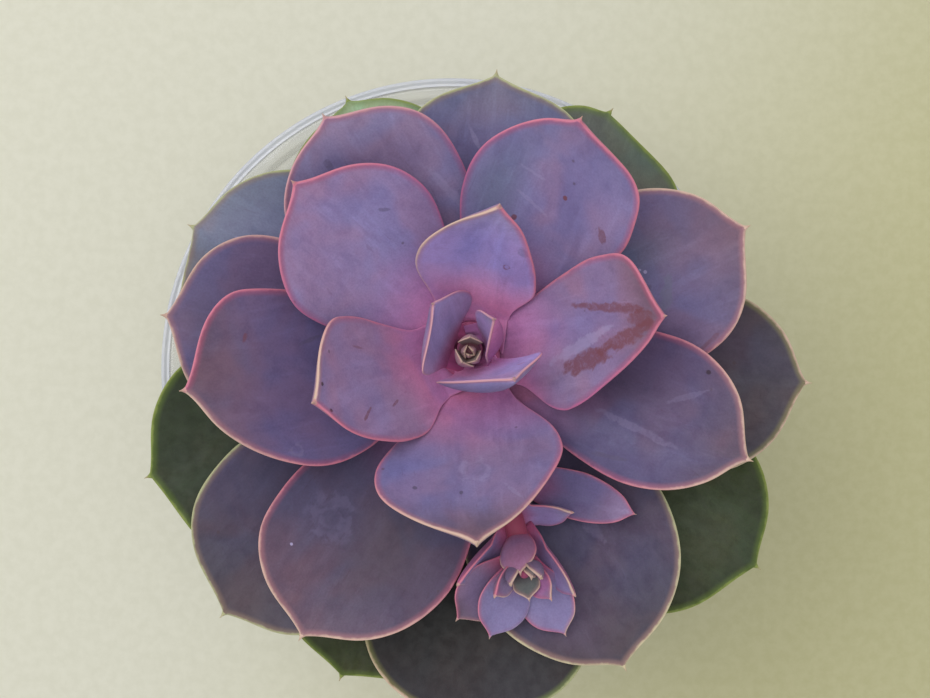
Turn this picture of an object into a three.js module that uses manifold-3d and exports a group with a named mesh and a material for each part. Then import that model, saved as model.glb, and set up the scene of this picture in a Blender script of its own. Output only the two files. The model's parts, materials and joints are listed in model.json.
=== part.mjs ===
// A potted echeveria: a broad rosette of spoon-shaped succulent leaves on a short
// stem, with one small offset rosette on a runner, growing in a clear plastic pot.
//
// Millimetres, +Z up. The origin is the centre of the pot's flat underside, and
// the pot's axis is Z. +Y is the side of the plant that the offset leans away from.

import * as THREE from "three";
import { mergeVertices } from "three/addons/utils/BufferGeometryUtils.js";
import Module from "manifold-3d";

const wasm = await Module();
wasm.setup();

const DEG = Math.PI / 180;

// Clearance kept between two pieces that touch
const SEAT_GAP = 0.3;

// The clear pot
const POT = {
  height: 88,
  baseRadius: 42,
  baseChamfer: 2,
  stepRadius: 53.6,
  stepHeight: 78,
  collarRadius: 56,
  lipRadius: 59,
  lipDepth: 3,
  wall: 1.2,
  floor: 1.6,
  sides: 48,
  drainHoles: 6,
  drainRadius: 4,
  drainCircle: 28,
};

// The potting mix, filled to well below the rim
const SOIL = { belowRim: 27, rings: 6, sides: 36, bumps: 1.1, crown: 2.2, seed: 11 };

// The rosette's own frame: its axis, and its zero height at the pot's rim
const ROSETTE = { x: 3.7, y: 3.7 };

// The stem, from its root end in the mix to the neck that carries the heart
const STEM = {
  radius: 6,
  sides: 16,
  rootEnd: -58,
  rootTipRadius: 2,
  rootShift: { x: -2.2, y: -1.7 },
  bendTop: -7,
  shoulder: 13.6,
  neck: 14.8,
  neckRadius: 3.1,
  tip: 19,
  tipRadius: 2.5,
};

// Leaves follow a spiral. Each older leaf sits one turn on and one step lower.
const SPIRAL = { turn: 138.5, start: 81, top: 14, step: 0.92, cup: 0.18, flatten: 0.004 };

// Leaf sections, from the base to the tip, and points across half a leaf
const BLADE_ROWS = [0, 0.07, 0.17, 0.29, 0.41, 0.52, 0.62, 0.71, 0.79, 0.86, 0.92, 0.965, 1];
const BLADE_ACROSS = [-1, -0.58, 0, 0.58, 1];
const SMALL_ROWS = [0, 0.16, 0.34, 0.52, 0.68, 0.82, 0.93, 1];
const SMALL_ACROSS = [-1, 0, 1];

// What every blade shares unless its own row says otherwise
const BLADE = {
  rootWidth: 8,
  widest: 0.62,
  rise: 1.25,
  tipRound: 2.1,
  tipPoint: 0.72,
  thick: 3.8,
  edge: 0.9,
  cup: 0.16,
  bend: 1,
  roll: 0,
  bias: 0,
  lean: 0,
  sweep: 0,
  mucro: 2,
  mucroRadius: 0.55,
  mucroLift: 18,
};

// The big leaves from youngest to oldest: name, twist off the spiral in degrees,
// length and width, and the pitch above level at the base and at the tip.
const LEAVES = [
  { name: "leaf_01", twist: 3, length: 35, width: 23.6, pitch: [50, 64],
    sweep: -2.5, bias: 0.06, lean: 0.12, widest: [0.5, 0.36] },
  { name: "leaf_02", twist: -21, length: 38, width: 25.4, pitch: [46, 62],
    bias: -0.03, lean: -0.15, widest: [0.42, 0.66], rise: [1, 1.25] },
  { name: "leaf_03", twist: 12, length: 42.5, width: 27, pitch: [44, 54],
    cup: 0.13, lean: 0.12, widest: [0.68, 0.4], tipRound: [2.1, 1.35], tipPoint: [0.72, 0.85] },
  { name: "leaf_04", twist: 0, length: 47, width: 32, pitch: [36, 42] },
  { name: "leaf_05", twist: -3, length: 46, width: 34.6, pitch: [46, 62],
    cup: 0.13, bias: -0.04, lean: -0.1, widest: [0.5, 0.6], rise: [1.25, 1.5],
    tipRound: [1.5, 1.8], tipPoint: 0.85 },
  { name: "leaf_06", twist: 4, length: 49.5, width: 34, pitch: [36, 42], sweep: 5.5, bias: -0.09 },
  { name: "leaf_07", twist: -4, length: 54, width: 34, pitch: [32, 34],
    lean: -0.1, widest: [0.54, 0.66], tipPoint: 0.8 },
  { name: "leaf_08", twist: 8, length: 54, width: 28.8, pitch: [28, 26],
    bias: 0.13, tipRound: [2.5, 2.1], tipPoint: [0.72, 0.85] },
  { name: "leaf_09", twist: 13, length: 52, width: 35, pitch: [30, 38], bias: -0.04, tipRound: 2.5 },
  { name: "leaf_10", twist: -8, length: 58.5, width: 38.6, pitch: [24, 16],
    bias: -0.02, widest: [0.6, 0.69], rise: [1.25, 1.4] },
  { name: "leaf_11", twist: -2, length: 54, width: 34, pitch: [26, 26], bias: -0.12 },
  { name: "leaf_12", twist: 9, length: 55, width: 36, pitch: [24, 18], tipRound: 2.2 },
  { name: "leaf_13", twist: -7, length: 62, width: 41.6, pitch: [18, 6], bias: 0.06 },
  { name: "leaf_14", twist: 3, length: 49, width: 36, pitch: [24, 22],
    bias: -0.04, tipRound: [2.1, 2.8] },
  { name: "leaf_15", twist: 7, length: 64.5, width: 40.6, pitch: [18, 5],
    bias: -0.15, rise: [1.25, 1.6], tipRound: [2.1, 2.4] },
  { name: "leaf_16", twist: -4, length: 59, width: 36.6, pitch: [16, 5],
    bias: -0.08, tipRound: [2.1, 2.4] },
  { name: "leaf_17", twist: 19, length: 54, width: 41, pitch: [18, 10],
    bias: 0.04, lean: 0.2, tipRound: [3, 2.4] },
  { name: "leaf_18", twist: -3, length: 68, width: 45, pitch: [15, 5],
    bias: -0.03, tipRound: 2.6, tipPoint: 0.62 },
  { name: "leaf_19", twist: -4, length: 48.5, width: 38.6, pitch: [17, 8],
    sweep: 7, bias: -0.08, tipRound: [2.8, 4.2], tipPoint: 0.62 },
  { name: "leaf_20", twist: 9, length: 62, width: 41, pitch: [18, 3],
    bias: 0.05, tipRound: [3.3, 2.6] },
  { name: "leaf_21", twist: -8, length: 65, width: 43, pitch: [16, 2],
    bias: -0.12, tipRound: [2.4, 3] },
  { name: "leaf_22", twist: 6.5, length: 49.5, width: 37.6, pitch: [17, 9], tipRound: 2.6 },
  { name: "leaf_23", twist: 0.5, length: 64, width: 41.6, pitch: [15, 3],
    bias: 0.08, tipRound: [3, 2.4] },
];

// The three young leaves that stand round the heart, on the neck of the stem
const INNER = {
  top: 16.6,
  step: 0.9,
  thick: 2.6,
  edge: 0.8,
  rootWidth: 4.6,
  cup: 0.22,
  bend: 0.8,
  mucro: 1,
};
const INNER_LEAVES = [
  { name: "inner_leaf_1", turn: 288, length: 18, width: 19.2, pitch: [66, 90], sweep: 6, lean: 0.15 },
  { name: "inner_leaf_2", turn: 152, length: 14, width: 15.5, pitch: [74, 56], sweep: -4, cup: 0.3 },
  { name: "inner_leaf_3", turn: 20, length: 12, width: 8.6, pitch: [80, 97], sweep: 3.4, cup: 0.3 },
];

// The heart, the smallest leaves closed over the growing tip. Each is one turn
// of the spiral on from the last and a fixed share of its size.
const HEART = {
  leaves: 6,
  turn: 227,
  length: 6.8,
  width: 5.4,
  rootWidth: 2.4,
  shrink: 0.8,
  coreHeight: 3,
  coreRadius: 2.1,
  rise: 0.45,
  thick: 1.3,
};

// The offset, a small rosette on a runner, tipped away from the main stem
const OFFSET = {
  out: 40.4,
  turn: -75.8,
  height: 20,
  tilt: 35,
  facing: -83,
  coreRadius: 2.3,
  coreTop: 5.4,
  thick: 1.9,
  edge: 0.7,
  mucro: 0.8,
  mucroRadius: 0.35,
};
// Points the runner passes through: distance out, turn, height, radius
const RUNNER = [
  [6.9, 296, 5.9, 1.2],
  [9.5, 294, 7.4, 1.3],
  [14, 290, 9.6, 1.4],
  [24, 286, 14, 1.7],
  [33, 284.6, 17.2, 2],
];
// Turn is from the downhill side. Up is the height of the leaf's root on the core.
const OFFSET_LEAVES = [
  { turn: -54, up: 0, length: 15.6, width: 10.5, pitch: [14, 26] },
  { turn: 24, up: 0.6, length: 15.5, width: 10, pitch: [20, 34] },
  { turn: -33, up: 1.1, length: 15, width: 10, pitch: [22, 34] },
  { turn: 66, up: -4, length: 14, width: 6.6, pitch: [44, 56], roll: -34 },
  { turn: -88, up: -3.6, length: 13, width: 6.6, pitch: [28, 40], roll: 40 },
  { turn: -160, up: -3.5, length: 10.4, width: 7, pitch: [66, 102] },
  { turn: 47, up: 2.8, length: 7.2, width: 4.6, pitch: [42, 58] },
  { turn: -79, up: 3, length: 7.5, width: 4.8, pitch: [42, 58] },
  { turn: 4, up: 3.6, length: 5, width: 4.6, pitch: [50, 70] },
  { turn: 126, up: 3.6, length: 5.4, width: 3.6, pitch: [54, 78] },
  { turn: -118, up: 4, length: 5.2, width: 3.2, pitch: [56, 80] },
  { turn: 136, up: 4.6, length: 2.8, width: 2.2, pitch: [70, 90] },
];
// Two leaves that grow from the side of the runner, behind the offset's heart
const RUNNER_LEAVES = [
  { out: 25, turn: 287, height: 14, facing: -17, length: 25, width: 8.8, pitch: [10, 14] },
  { out: 36, turn: 289.4, height: 18.2, facing: 94, length: 11, width: 12.4, pitch: [50, 84], sweep: -1.2 },
];

const COLOURS = {
  pot: 0xdfe6ee,
  soil: 0x3b2d22,
  stem: 0x8a8a5c,
  young: 0xa87fae,
  grown: 0x6f6590,
  old: 0x55683f,
  heart: 0xa9919a,
};

const material = (color, roughness, extra = {}) =>
  new THREE.MeshStandardMaterial({ color, roughness, metalness: 0, ...extra });

// A repeatable run of numbers from 0 to 1
function seededRandom(seed) {
  let state = seed;
  return () => {
    state = (state * 1664525 + 1013904223) % 4294967296;
    return state / 4294967296;
  };
}

// Solids and geometries

function solidFrom(geometry) {
  const bare = geometry.clone();
  for (const name of Object.keys(bare.attributes)) {
    if (name !== "position") bare.deleteAttribute(name);
  }
  const merged = mergeVertices(bare, 1e-4);
  return new wasm.Manifold(
    new wasm.Mesh({
      numProp: 3,
      vertProperties: new Float32Array(merged.attributes.position.array),
      triVerts: new Uint32Array(merged.index.array),
    }),
  );
}

function geometryFrom(solid) {
  const mesh = solid.getMesh();
  const geometry = new THREE.BufferGeometry();
  geometry.setAttribute("position", new THREE.BufferAttribute(mesh.vertProperties, 3));
  geometry.setIndex(new THREE.BufferAttribute(mesh.triVerts, 1));
  geometry.computeVertexNormals();
  return geometry;
}

// Closes a stack of equal loops of points, each end with a strip across its loop.
// Each loop runs anticlockwise as seen from the last loop, so faces point out.
function loft(loops) {
  const count = loops[0].length;
  const index = [];
  for (let i = 0; i + 1 < loops.length; i++) {
    for (let j = 0; j < count; j++) {
      const a = i * count + j;
      const b = i * count + ((j + 1) % count);
      index.push(a, b, b + count, a, b + count, a + count);
    }
  }
  const end = (loops.length - 1) * count;
  for (let j = 0; j + 1 < count / 2; j++) {
    const [a, b, c, d] = [j, j + 1, count - 2 - j, count - 1 - j];
    index.push(a, c, b, a, d, c);
    index.push(end + a, end + b, end + c, end + a, end + c, end + d);
  }
  const geometry = new THREE.BufferGeometry().setFromPoints(loops.flat());
  geometry.setIndex(index);
  geometry.computeVertexNormals();
  return geometry;
}

// Leaves

// A value given as a pair is one for the left side of the leaf and one for the right
const sided = (value, v) => (Array.isArray(value) ? value[v < 0 ? 1 : 0] : value);

// How far out the margin is at a share s of the length, against its widest
function outline(leaf, s, v) {
  const widest = sided(leaf.widest, v);
  const root = leaf.rootWidth / leaf.width;
  if (s < widest) {
    const x = s / widest;
    return root + (1 - root) * Math.sin((x * Math.PI) / 2) ** sided(leaf.rise, v);
  }
  const x = (s - widest) / (1 - widest);
  return (1 - x ** sided(leaf.tipRound, v)) ** sided(leaf.tipPoint, v);
}

// A leaf in its own frame: +X away from the stem's axis, +Z up, its root at the seat
// radius. A leaf that stands on the stem has its root face shaped to the stem.
function leafGeometry(row, seat, { rows = BLADE_ROWS, across = BLADE_ACROSS, onStem = true } = {}) {
  const leaf = { ...BLADE, ...row };
  const [startPitch, endPitch] = leaf.pitch.map((degrees) => degrees * DEG);
  const pitchAt = (s) => startPitch + (endPitch - startPitch) * s ** leaf.bend;
  const point = new THREE.Vector3(seat, 0, 0);
  const steps = 40;
  const walked = [point.clone()];
  for (let i = 1; i <= steps; i++) {
    const pitch = pitchAt((i - 0.5) / steps);
    point.x += (leaf.length / steps) * Math.cos(pitch);
    point.z += (leaf.length / steps) * Math.sin(pitch);
    walked.push(point.clone());
  }
  const midribAt = (s) => {
    const at = Math.min(s, 1) * steps;
    const i = Math.min(Math.floor(at), steps - 1);
    return walked[i].clone().lerp(walked[i + 1], at - i);
  };

  const loops = rows.map((s) => {
    const pitch = pitchAt(s);
    const roll = leaf.roll * DEG * Math.min(1, s / 0.4);
    const along = new THREE.Vector3(Math.cos(pitch), 0, Math.sin(pitch));
    const side = new THREE.Vector3(0, 1, 0).applyAxisAngle(along, roll);
    const up = new THREE.Vector3().crossVectors(along, side);
    const centre = midribAt(s);
    centre.y += leaf.sweep * s * s;
    const fade = Math.sin(Math.PI * (0.1 + 0.9 * s)) ** 0.7;
    const thick = leaf.mucroRadius * 2 + (leaf.thick - leaf.mucroRadius * 2) * fade;
    const rim = Math.min(leaf.edge, thick);
    const upper = [];
    const lower = [];
    for (const v of across) {
      const half = Math.hypot((leaf.width / 2) * outline(leaf, s, v), leaf.mucroRadius);
      const y = half * (v + leaf.bias * Math.abs(v));
      const raised = leaf.cup * half * Math.min(1, 0.35 + s) * Math.abs(v) ** 1.8;
      const depth = rim + (thick - rim) * (1 - Math.abs(v) ** 1.7);
      const top = centre.clone().addScaledVector(side, y).addScaledVector(up, raised);
      top.addScaledVector(along, leaf.lean * y * Math.sin(Math.PI * s));
      upper.unshift(top);
      lower.push(top.clone().addScaledVector(up, -depth));
    }
    const loop = [...lower, ...upper];
    if (s === 0 && onStem) {
      for (const p of loop) p.x = Math.sqrt(Math.max(seat ** 2 - p.y ** 2, 0));
    }
    return loop;
  });

  // The mucro, a small soft spine that carries the midrib on past the blade
  const mucroPitch = endPitch + leaf.mucroLift * DEG;
  const shift = new THREE.Vector3(Math.cos(mucroPitch), 0, Math.sin(mucroPitch));
  const lastLoop = loops.at(-1);
  const heart = lastLoop.reduce((sum, p) => sum.add(p), new THREE.Vector3());
  heart.divideScalar(lastLoop.length);
  const spine = heart.clone().addScaledVector(shift, leaf.mucro);
  loops.push(lastLoop.map((p) => p.clone().sub(heart).multiplyScalar(0.18).add(spine)));
  return loft(loops);
}

function bigLeaf(row, order) {
  const height = SPIRAL.top - SPIRAL.step * order;
  const cup = SPIRAL.cup - SPIRAL.flatten * order;
  const shade = order < 8 ? COLOURS.young : order < 17 ? COLOURS.grown : COLOURS.old;
  const mesh = new THREE.Mesh(
    leafGeometry({ cup, ...row }, STEM.radius + SEAT_GAP),
    material(shade, 0.55),
  );
  mesh.name = row.name;
  mesh.position.z = height;
  mesh.rotation.z = (SPIRAL.start + SPIRAL.turn * order + row.twist) * DEG;
  return mesh;
}

function innerLeaf(row, order) {
  const { top, step, ...shape } = INNER;
  const geometry = leafGeometry({ ...shape, ...row }, STEM.neckRadius + SEAT_GAP);
  const mesh = new THREE.Mesh(geometry, material(COLOURS.young, 0.5));
  mesh.name = row.name;
  mesh.position.z = top + step * order;
  mesh.rotation.z = row.turn * DEG;
  return mesh;
}

// A small leaf whose root is sunk in the core it grows from, turned to its place
function smallLeaf(row, coreRadius) {
  const options = { rows: SMALL_ROWS, across: SMALL_ACROSS, onStem: false };
  const geometry = leafGeometry(row, coreRadius * 0.4, options);
  return geometry.rotateZ(row.turn * DEG).translate(0, 0, row.up);
}

function fuse(geometries) {
  const solids = geometries.map(solidFrom);
  return geometryFrom(solids.reduce((all, next) => all.add(next)));
}

function heartGeometry() {
  const base = STEM.tip + SEAT_GAP;
  const core = loft([
    ring({ x: 0, y: 0, z: 0 }, HEART.coreRadius, 10),
    ring({ x: 0, y: 0, z: 1 }, HEART.coreRadius, 10),
    ring({ x: 0, y: 0, z: HEART.coreHeight }, 0.8, 10),
  ]);
  const parts = [core];
  for (let i = 0; i < HEART.leaves; i++) {
    const size = HEART.shrink ** i;
    const row = {
      turn: HEART.turn + SPIRAL.turn * i * -1,
      up: 0.9 + HEART.rise * i,
      length: HEART.length * size,
      width: HEART.width * size,
      rootWidth: HEART.rootWidth * size,
      pitch: [50, 100],
      bend: 0.6,
      cup: 0.3,
      thick: HEART.thick,
      edge: 0.7,
      mucro: 0.4,
      mucroRadius: 0.3,
    };
    parts.push(smallLeaf(row, HEART.coreRadius * size * 1.3));
  }
  return fuse(parts).translate(0, 0, base);
}

// Offset

const polar = (out, turn, z) =>
  new THREE.Vector3(out * Math.cos(turn * DEG), out * Math.sin(turn * DEG), z);

function offsetFrame() {
  const turn = new THREE.Euler(0, OFFSET.tilt * DEG, OFFSET.facing * DEG, "ZYX");
  const frame = new THREE.Matrix4().makeRotationFromEuler(turn);
  return frame.setPosition(polar(OFFSET.out, OFFSET.turn, OFFSET.height));
}

// A round tube through the given points, its rings square to the way it runs
function tube(points, radii, sides = 8) {
  const loops = points.map((point, i) => {
    const before = points[Math.max(i - 1, 0)];
    const after = points[Math.min(i + 1, points.length - 1)];
    const along = after.clone().sub(before).normalize();
    const turn = new THREE.Quaternion().setFromUnitVectors(new THREE.Vector3(0, 0, 1), along);
    return ring({ x: 0, y: 0, z: 0 }, radii[i], sides).map((p) => p.applyQuaternion(turn).add(point));
  });
  return loft(loops);
}

function offsetGeometry() {
  const { thick, edge, mucro, mucroRadius, coreRadius } = OFFSET;
  const frame = offsetFrame();
  const blade = { cup: 0.2, rootWidth: 3, tipRound: 1.9, widest: 0.56 };
  const shape = { thick, edge, mucro, mucroRadius, ...blade };
  const core = loft([
    ring({ x: 0, y: 0, z: -4 }, coreRadius * 0.85, 10),
    ring({ x: 0, y: 0, z: 1 }, coreRadius, 10),
    ring({ x: 0, y: 0, z: OFFSET.coreTop }, 0.8, 10),
  ]).applyMatrix4(frame);
  const points = RUNNER.map(([out, turn, z]) => polar(out, turn, z));
  const radii = RUNNER.map((row) => row[3]);
  points.push(new THREE.Vector3(0, 0, -1).applyMatrix4(frame));
  radii.push(coreRadius * 0.9);
  const parts = [core, tube(points, radii)];
  for (const row of OFFSET_LEAVES) {
    parts.push(smallLeaf({ ...shape, ...row }, coreRadius).applyMatrix4(frame));
  }
  for (const { out, turn, height, facing, ...row } of RUNNER_LEAVES) {
    const leaf = smallLeaf({ ...shape, ...row, turn: facing, up: 0 }, 1);
    parts.push(leaf.translate(...polar(out, turn, height).toArray()));
  }
  return fuse(parts);
}

// Stem

function ring(centre, radius, sides) {
  return Array.from({ length: sides }, (_, i) => {
    const angle = (i / sides) * 2 * Math.PI;
    return new THREE.Vector3(
      centre.x + radius * Math.cos(angle),
      centre.y + radius * Math.sin(angle),
      centre.z,
    );
  });
}

function stemLoops(extra = 0) {
  const soilTop = -SOIL.belowRim;
  const sections = [
    [STEM.rootEnd, STEM.rootTipRadius],
    [STEM.rootEnd * 0.72, STEM.radius * 0.7],
    [soilTop, STEM.radius * 0.9],
    [(soilTop + STEM.bendTop) / 2, STEM.radius * 0.86],
    [STEM.bendTop, STEM.radius],
    [STEM.shoulder, STEM.radius],
    [STEM.neck, STEM.neckRadius],
    [STEM.tip, STEM.tipRadius],
  ];
  sections[0][0] -= extra;
  return sections.map(([z, radius]) => {
    const bend = THREE.MathUtils.smoothstep(z, soilTop - 6, STEM.bendTop);
    const centre = new THREE.Vector3(
      STEM.rootShift.x * (1 - bend),
      STEM.rootShift.y * (1 - bend),
      z,
    );
    return ring(centre, radius + extra, STEM.sides);
  });
}

// Pot

function potProfile() {
  const { height, wall, floor } = POT;
  const outside = [
    [0, 0],
    [POT.baseRadius - POT.baseChamfer, 0],
    [POT.baseRadius, POT.baseChamfer],
    [POT.stepRadius, POT.stepHeight],
    [POT.collarRadius, POT.stepHeight + 1.6],
    [POT.collarRadius + 0.6, height - POT.lipDepth],
    [POT.lipRadius - 0.5, height - POT.lipDepth],
    [POT.lipRadius, height - POT.lipDepth + 0.6],
    [POT.lipRadius, height - 0.7],
    [POT.lipRadius - 0.7, height],
    [POT.collarRadius + 1.3 - wall, height],
  ];
  const inside = [
    [POT.collarRadius + 0.3 - wall, height - 1.4],
    [POT.collarRadius - wall, POT.stepHeight + 2.2],
    [POT.stepRadius - wall, POT.stepHeight + 0.6],
    [POT.baseRadius - wall, floor + 1],
    [POT.baseRadius - wall - 1, floor],
    [0, floor],
  ];
  return [...outside, ...inside].map(([x, y]) => new THREE.Vector2(x, y));
}

function potGeometry() {
  const shell = new THREE.LatheGeometry(potProfile(), POT.sides).rotateX(Math.PI / 2);
  let solid = solidFrom(shell);
  for (let i = 0; i < POT.drainHoles; i++) {
    const angle = (i / POT.drainHoles) * 2 * Math.PI;
    const drill = new THREE.CylinderGeometry(POT.drainRadius, POT.drainRadius, 12, 12);
    drill.rotateX(Math.PI / 2);
    drill.translate(POT.drainCircle * Math.cos(angle), POT.drainCircle * Math.sin(angle), 0);
    solid = solid.subtract(solidFrom(drill));
  }
  return geometryFrom(solid);
}

// The inner wall's radius at a height in the pot
function insideRadiusAt(z) {
  const share = (z - POT.floor - 1) / (POT.stepHeight + 0.6 - POT.floor - 1);
  return POT.baseRadius - POT.wall + (POT.stepRadius - POT.baseRadius) * share;
}

// Potting mix

function soilGeometry(stem) {
  const random = seededRandom(SOIL.seed);
  const top = POT.height - SOIL.belowRim;
  const bottom = POT.floor + SEAT_GAP;
  const fit = (z) => insideRadiusAt(z) - SEAT_GAP;
  const facet = Math.cos(Math.PI / POT.sides);
  const loops = [
    ring({ x: 0, y: 0, z: bottom }, (fit(bottom + 1.2) - 1.4) * facet, SOIL.sides),
    ring({ x: 0, y: 0, z: bottom + 1.6 }, fit(bottom + 1.6) * facet, SOIL.sides),
    ring({ x: 0, y: 0, z: top }, fit(top) * facet, SOIL.sides),
  ];
  for (let i = SOIL.rings; i >= 1; i--) {
    const share = (i - 0.5) / SOIL.rings;
    const level = top + SOIL.crown * (1 - share * share);
    const loop = ring({ x: 0, y: 0, z: level }, fit(top) * share, SOIL.sides);
    for (const p of loop) p.z += (random() - 0.5) * 2 * SOIL.bumps;
    loops.push(loop);
  }
  return geometryFrom(solidFrom(loft(loops)).subtract(stem));
}

// The whole plant in its pot

const plant = new THREE.Group();

const pot = new THREE.Mesh(
  potGeometry(),
  material(COLOURS.pot, 0.12, { transparent: true, opacity: 0.3 }),
);
pot.name = "pot";
plant.add(pot);

const rosette = new THREE.Group();
rosette.position.set(ROSETTE.x, ROSETTE.y, POT.height);
plant.add(rosette);

const stem = new THREE.Mesh(loft(stemLoops()), material(COLOURS.stem, 0.7));
stem.name = "stem";
rosette.add(stem);

const stemHole = loft(stemLoops(SEAT_GAP)).translate(ROSETTE.x, ROSETTE.y, POT.height);
const soil = new THREE.Mesh(soilGeometry(solidFrom(stemHole)), material(COLOURS.soil, 0.95));
soil.name = "potting_mix";
plant.add(soil);

LEAVES.forEach((row, order) => rosette.add(bigLeaf(row, order)));
INNER_LEAVES.forEach((row, order) => rosette.add(innerLeaf(row, order)));

const heart = new THREE.Mesh(heartGeometry(), material(COLOURS.heart, 0.6));
heart.name = "heart_leaves";
rosette.add(heart);

const offset = new THREE.Mesh(offsetGeometry(), material(COLOURS.young, 0.55));
offset.name = "offset_rosette";
rosette.add(offset);

export default plant;
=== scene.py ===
import json
import math

import bmesh
import bpy
import numpy as np
from mathutils import Matrix, Quaternion, Vector
from mathutils.geometry import delaunay_2d_cdt


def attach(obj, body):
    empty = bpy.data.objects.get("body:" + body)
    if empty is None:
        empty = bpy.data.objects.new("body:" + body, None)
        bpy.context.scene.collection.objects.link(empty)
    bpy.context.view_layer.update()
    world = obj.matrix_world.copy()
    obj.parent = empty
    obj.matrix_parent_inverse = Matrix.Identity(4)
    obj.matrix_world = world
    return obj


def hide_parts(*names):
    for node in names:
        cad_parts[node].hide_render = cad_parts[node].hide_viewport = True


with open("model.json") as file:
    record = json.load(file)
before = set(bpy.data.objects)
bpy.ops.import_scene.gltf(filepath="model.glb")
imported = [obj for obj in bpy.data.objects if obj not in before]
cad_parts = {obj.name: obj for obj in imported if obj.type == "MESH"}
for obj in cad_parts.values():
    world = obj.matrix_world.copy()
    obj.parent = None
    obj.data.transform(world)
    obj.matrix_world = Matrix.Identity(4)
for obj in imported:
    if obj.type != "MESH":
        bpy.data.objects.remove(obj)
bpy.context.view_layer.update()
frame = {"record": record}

# The dressed echeveria. Sizes are in millimetres and repeat the named values of
# the solids, and meshes are scaled to metres when they are made. Colours are sRGB,
# 0 to 255, unless a comment says linear.
MM = 0.001
SLOTS = {row["node"]: row["material_slot"] for row in frame["record"]["subparts"]}
scene = bpy.context.scene
scene.view_settings.view_transform = "Standard"

# --- camera

CAMERA = {"x": 2.8, "y": 3.9, "z": 410.0, "lens": 61.43}

camera_data = bpy.data.cameras.new("camera")
camera_data.lens = CAMERA["lens"]
camera_data.sensor_width = 36
camera_data.sensor_fit = "HORIZONTAL"
camera = bpy.data.objects.new("camera", camera_data)
camera.location = (CAMERA["x"] * MM, CAMERA["y"] * MM, CAMERA["z"] * MM)
scene.collection.objects.link(camera)
scene.camera = camera

# --- sizes

# The rosette's axis, and its zero height at the pot's rim
ROSETTE = np.array([3.7, 3.7, 88.0])
# Between two pieces that touch
SEAT_GAP = 0.3

POT = {
    "height": 88, "base": 42, "step": 53.6, "step_height": 78, "lip": 59,
    "lip_depth": 3, "lip_width": 1.7, "wall": 1.2, "floor": 1.6,
    "holes": 6, "hole_radius": 4, "hole_circle": 28,
}
SOIL = {"top": 61, "crown": 2.2, "wall_gap": 0.7}
STEM = {
    "radius": 6, "root_end": -58, "root_tip": 2, "shift": (-2.2, -1.7),
    "bend_top": -7, "shoulder": 13.6, "neck": 14.8, "neck_radius": 3.1,
    "tip": 19, "tip_radius": 2.5, "soil_top": -27,
}
SPIRAL = {"turn": 138.5, "start": 81, "top": 14, "step": 0.92, "cup": 0.18, "flatten": 0.004}

# What a leaf has where its own row says nothing else. Pairs in a row are for its left
# and its right half, looking outward. bias makes the left half wider, lean slides the
# left half outward and the right one inward, sweep bends the tip to the left, draw is
# how far before the tip the blade narrows, and flare widens the root.
BLADE = {
    "root_width": 8, "widest": 0.62, "rise": 1.25, "tip_round": 2.1, "tip_point": 0.72,
    "thick": 3.8, "edge": 0.9, "cup": 0.16, "bend": 1, "roll": 0, "bias": 0, "lean": 0,
    "sweep": 0, "mucro": 1.4, "mucro_radius": 0.6, "mucro_lift": 18, "flare": 2.4, "draw": 1,
}


def blade(turn, length, width, pitch, **more):
    """A leaf's row: its turn round the stem, its sizes, and its pitch at base and tip."""
    return dict(turn=turn, length=length, width=width, pitch=pitch, **more)


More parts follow.
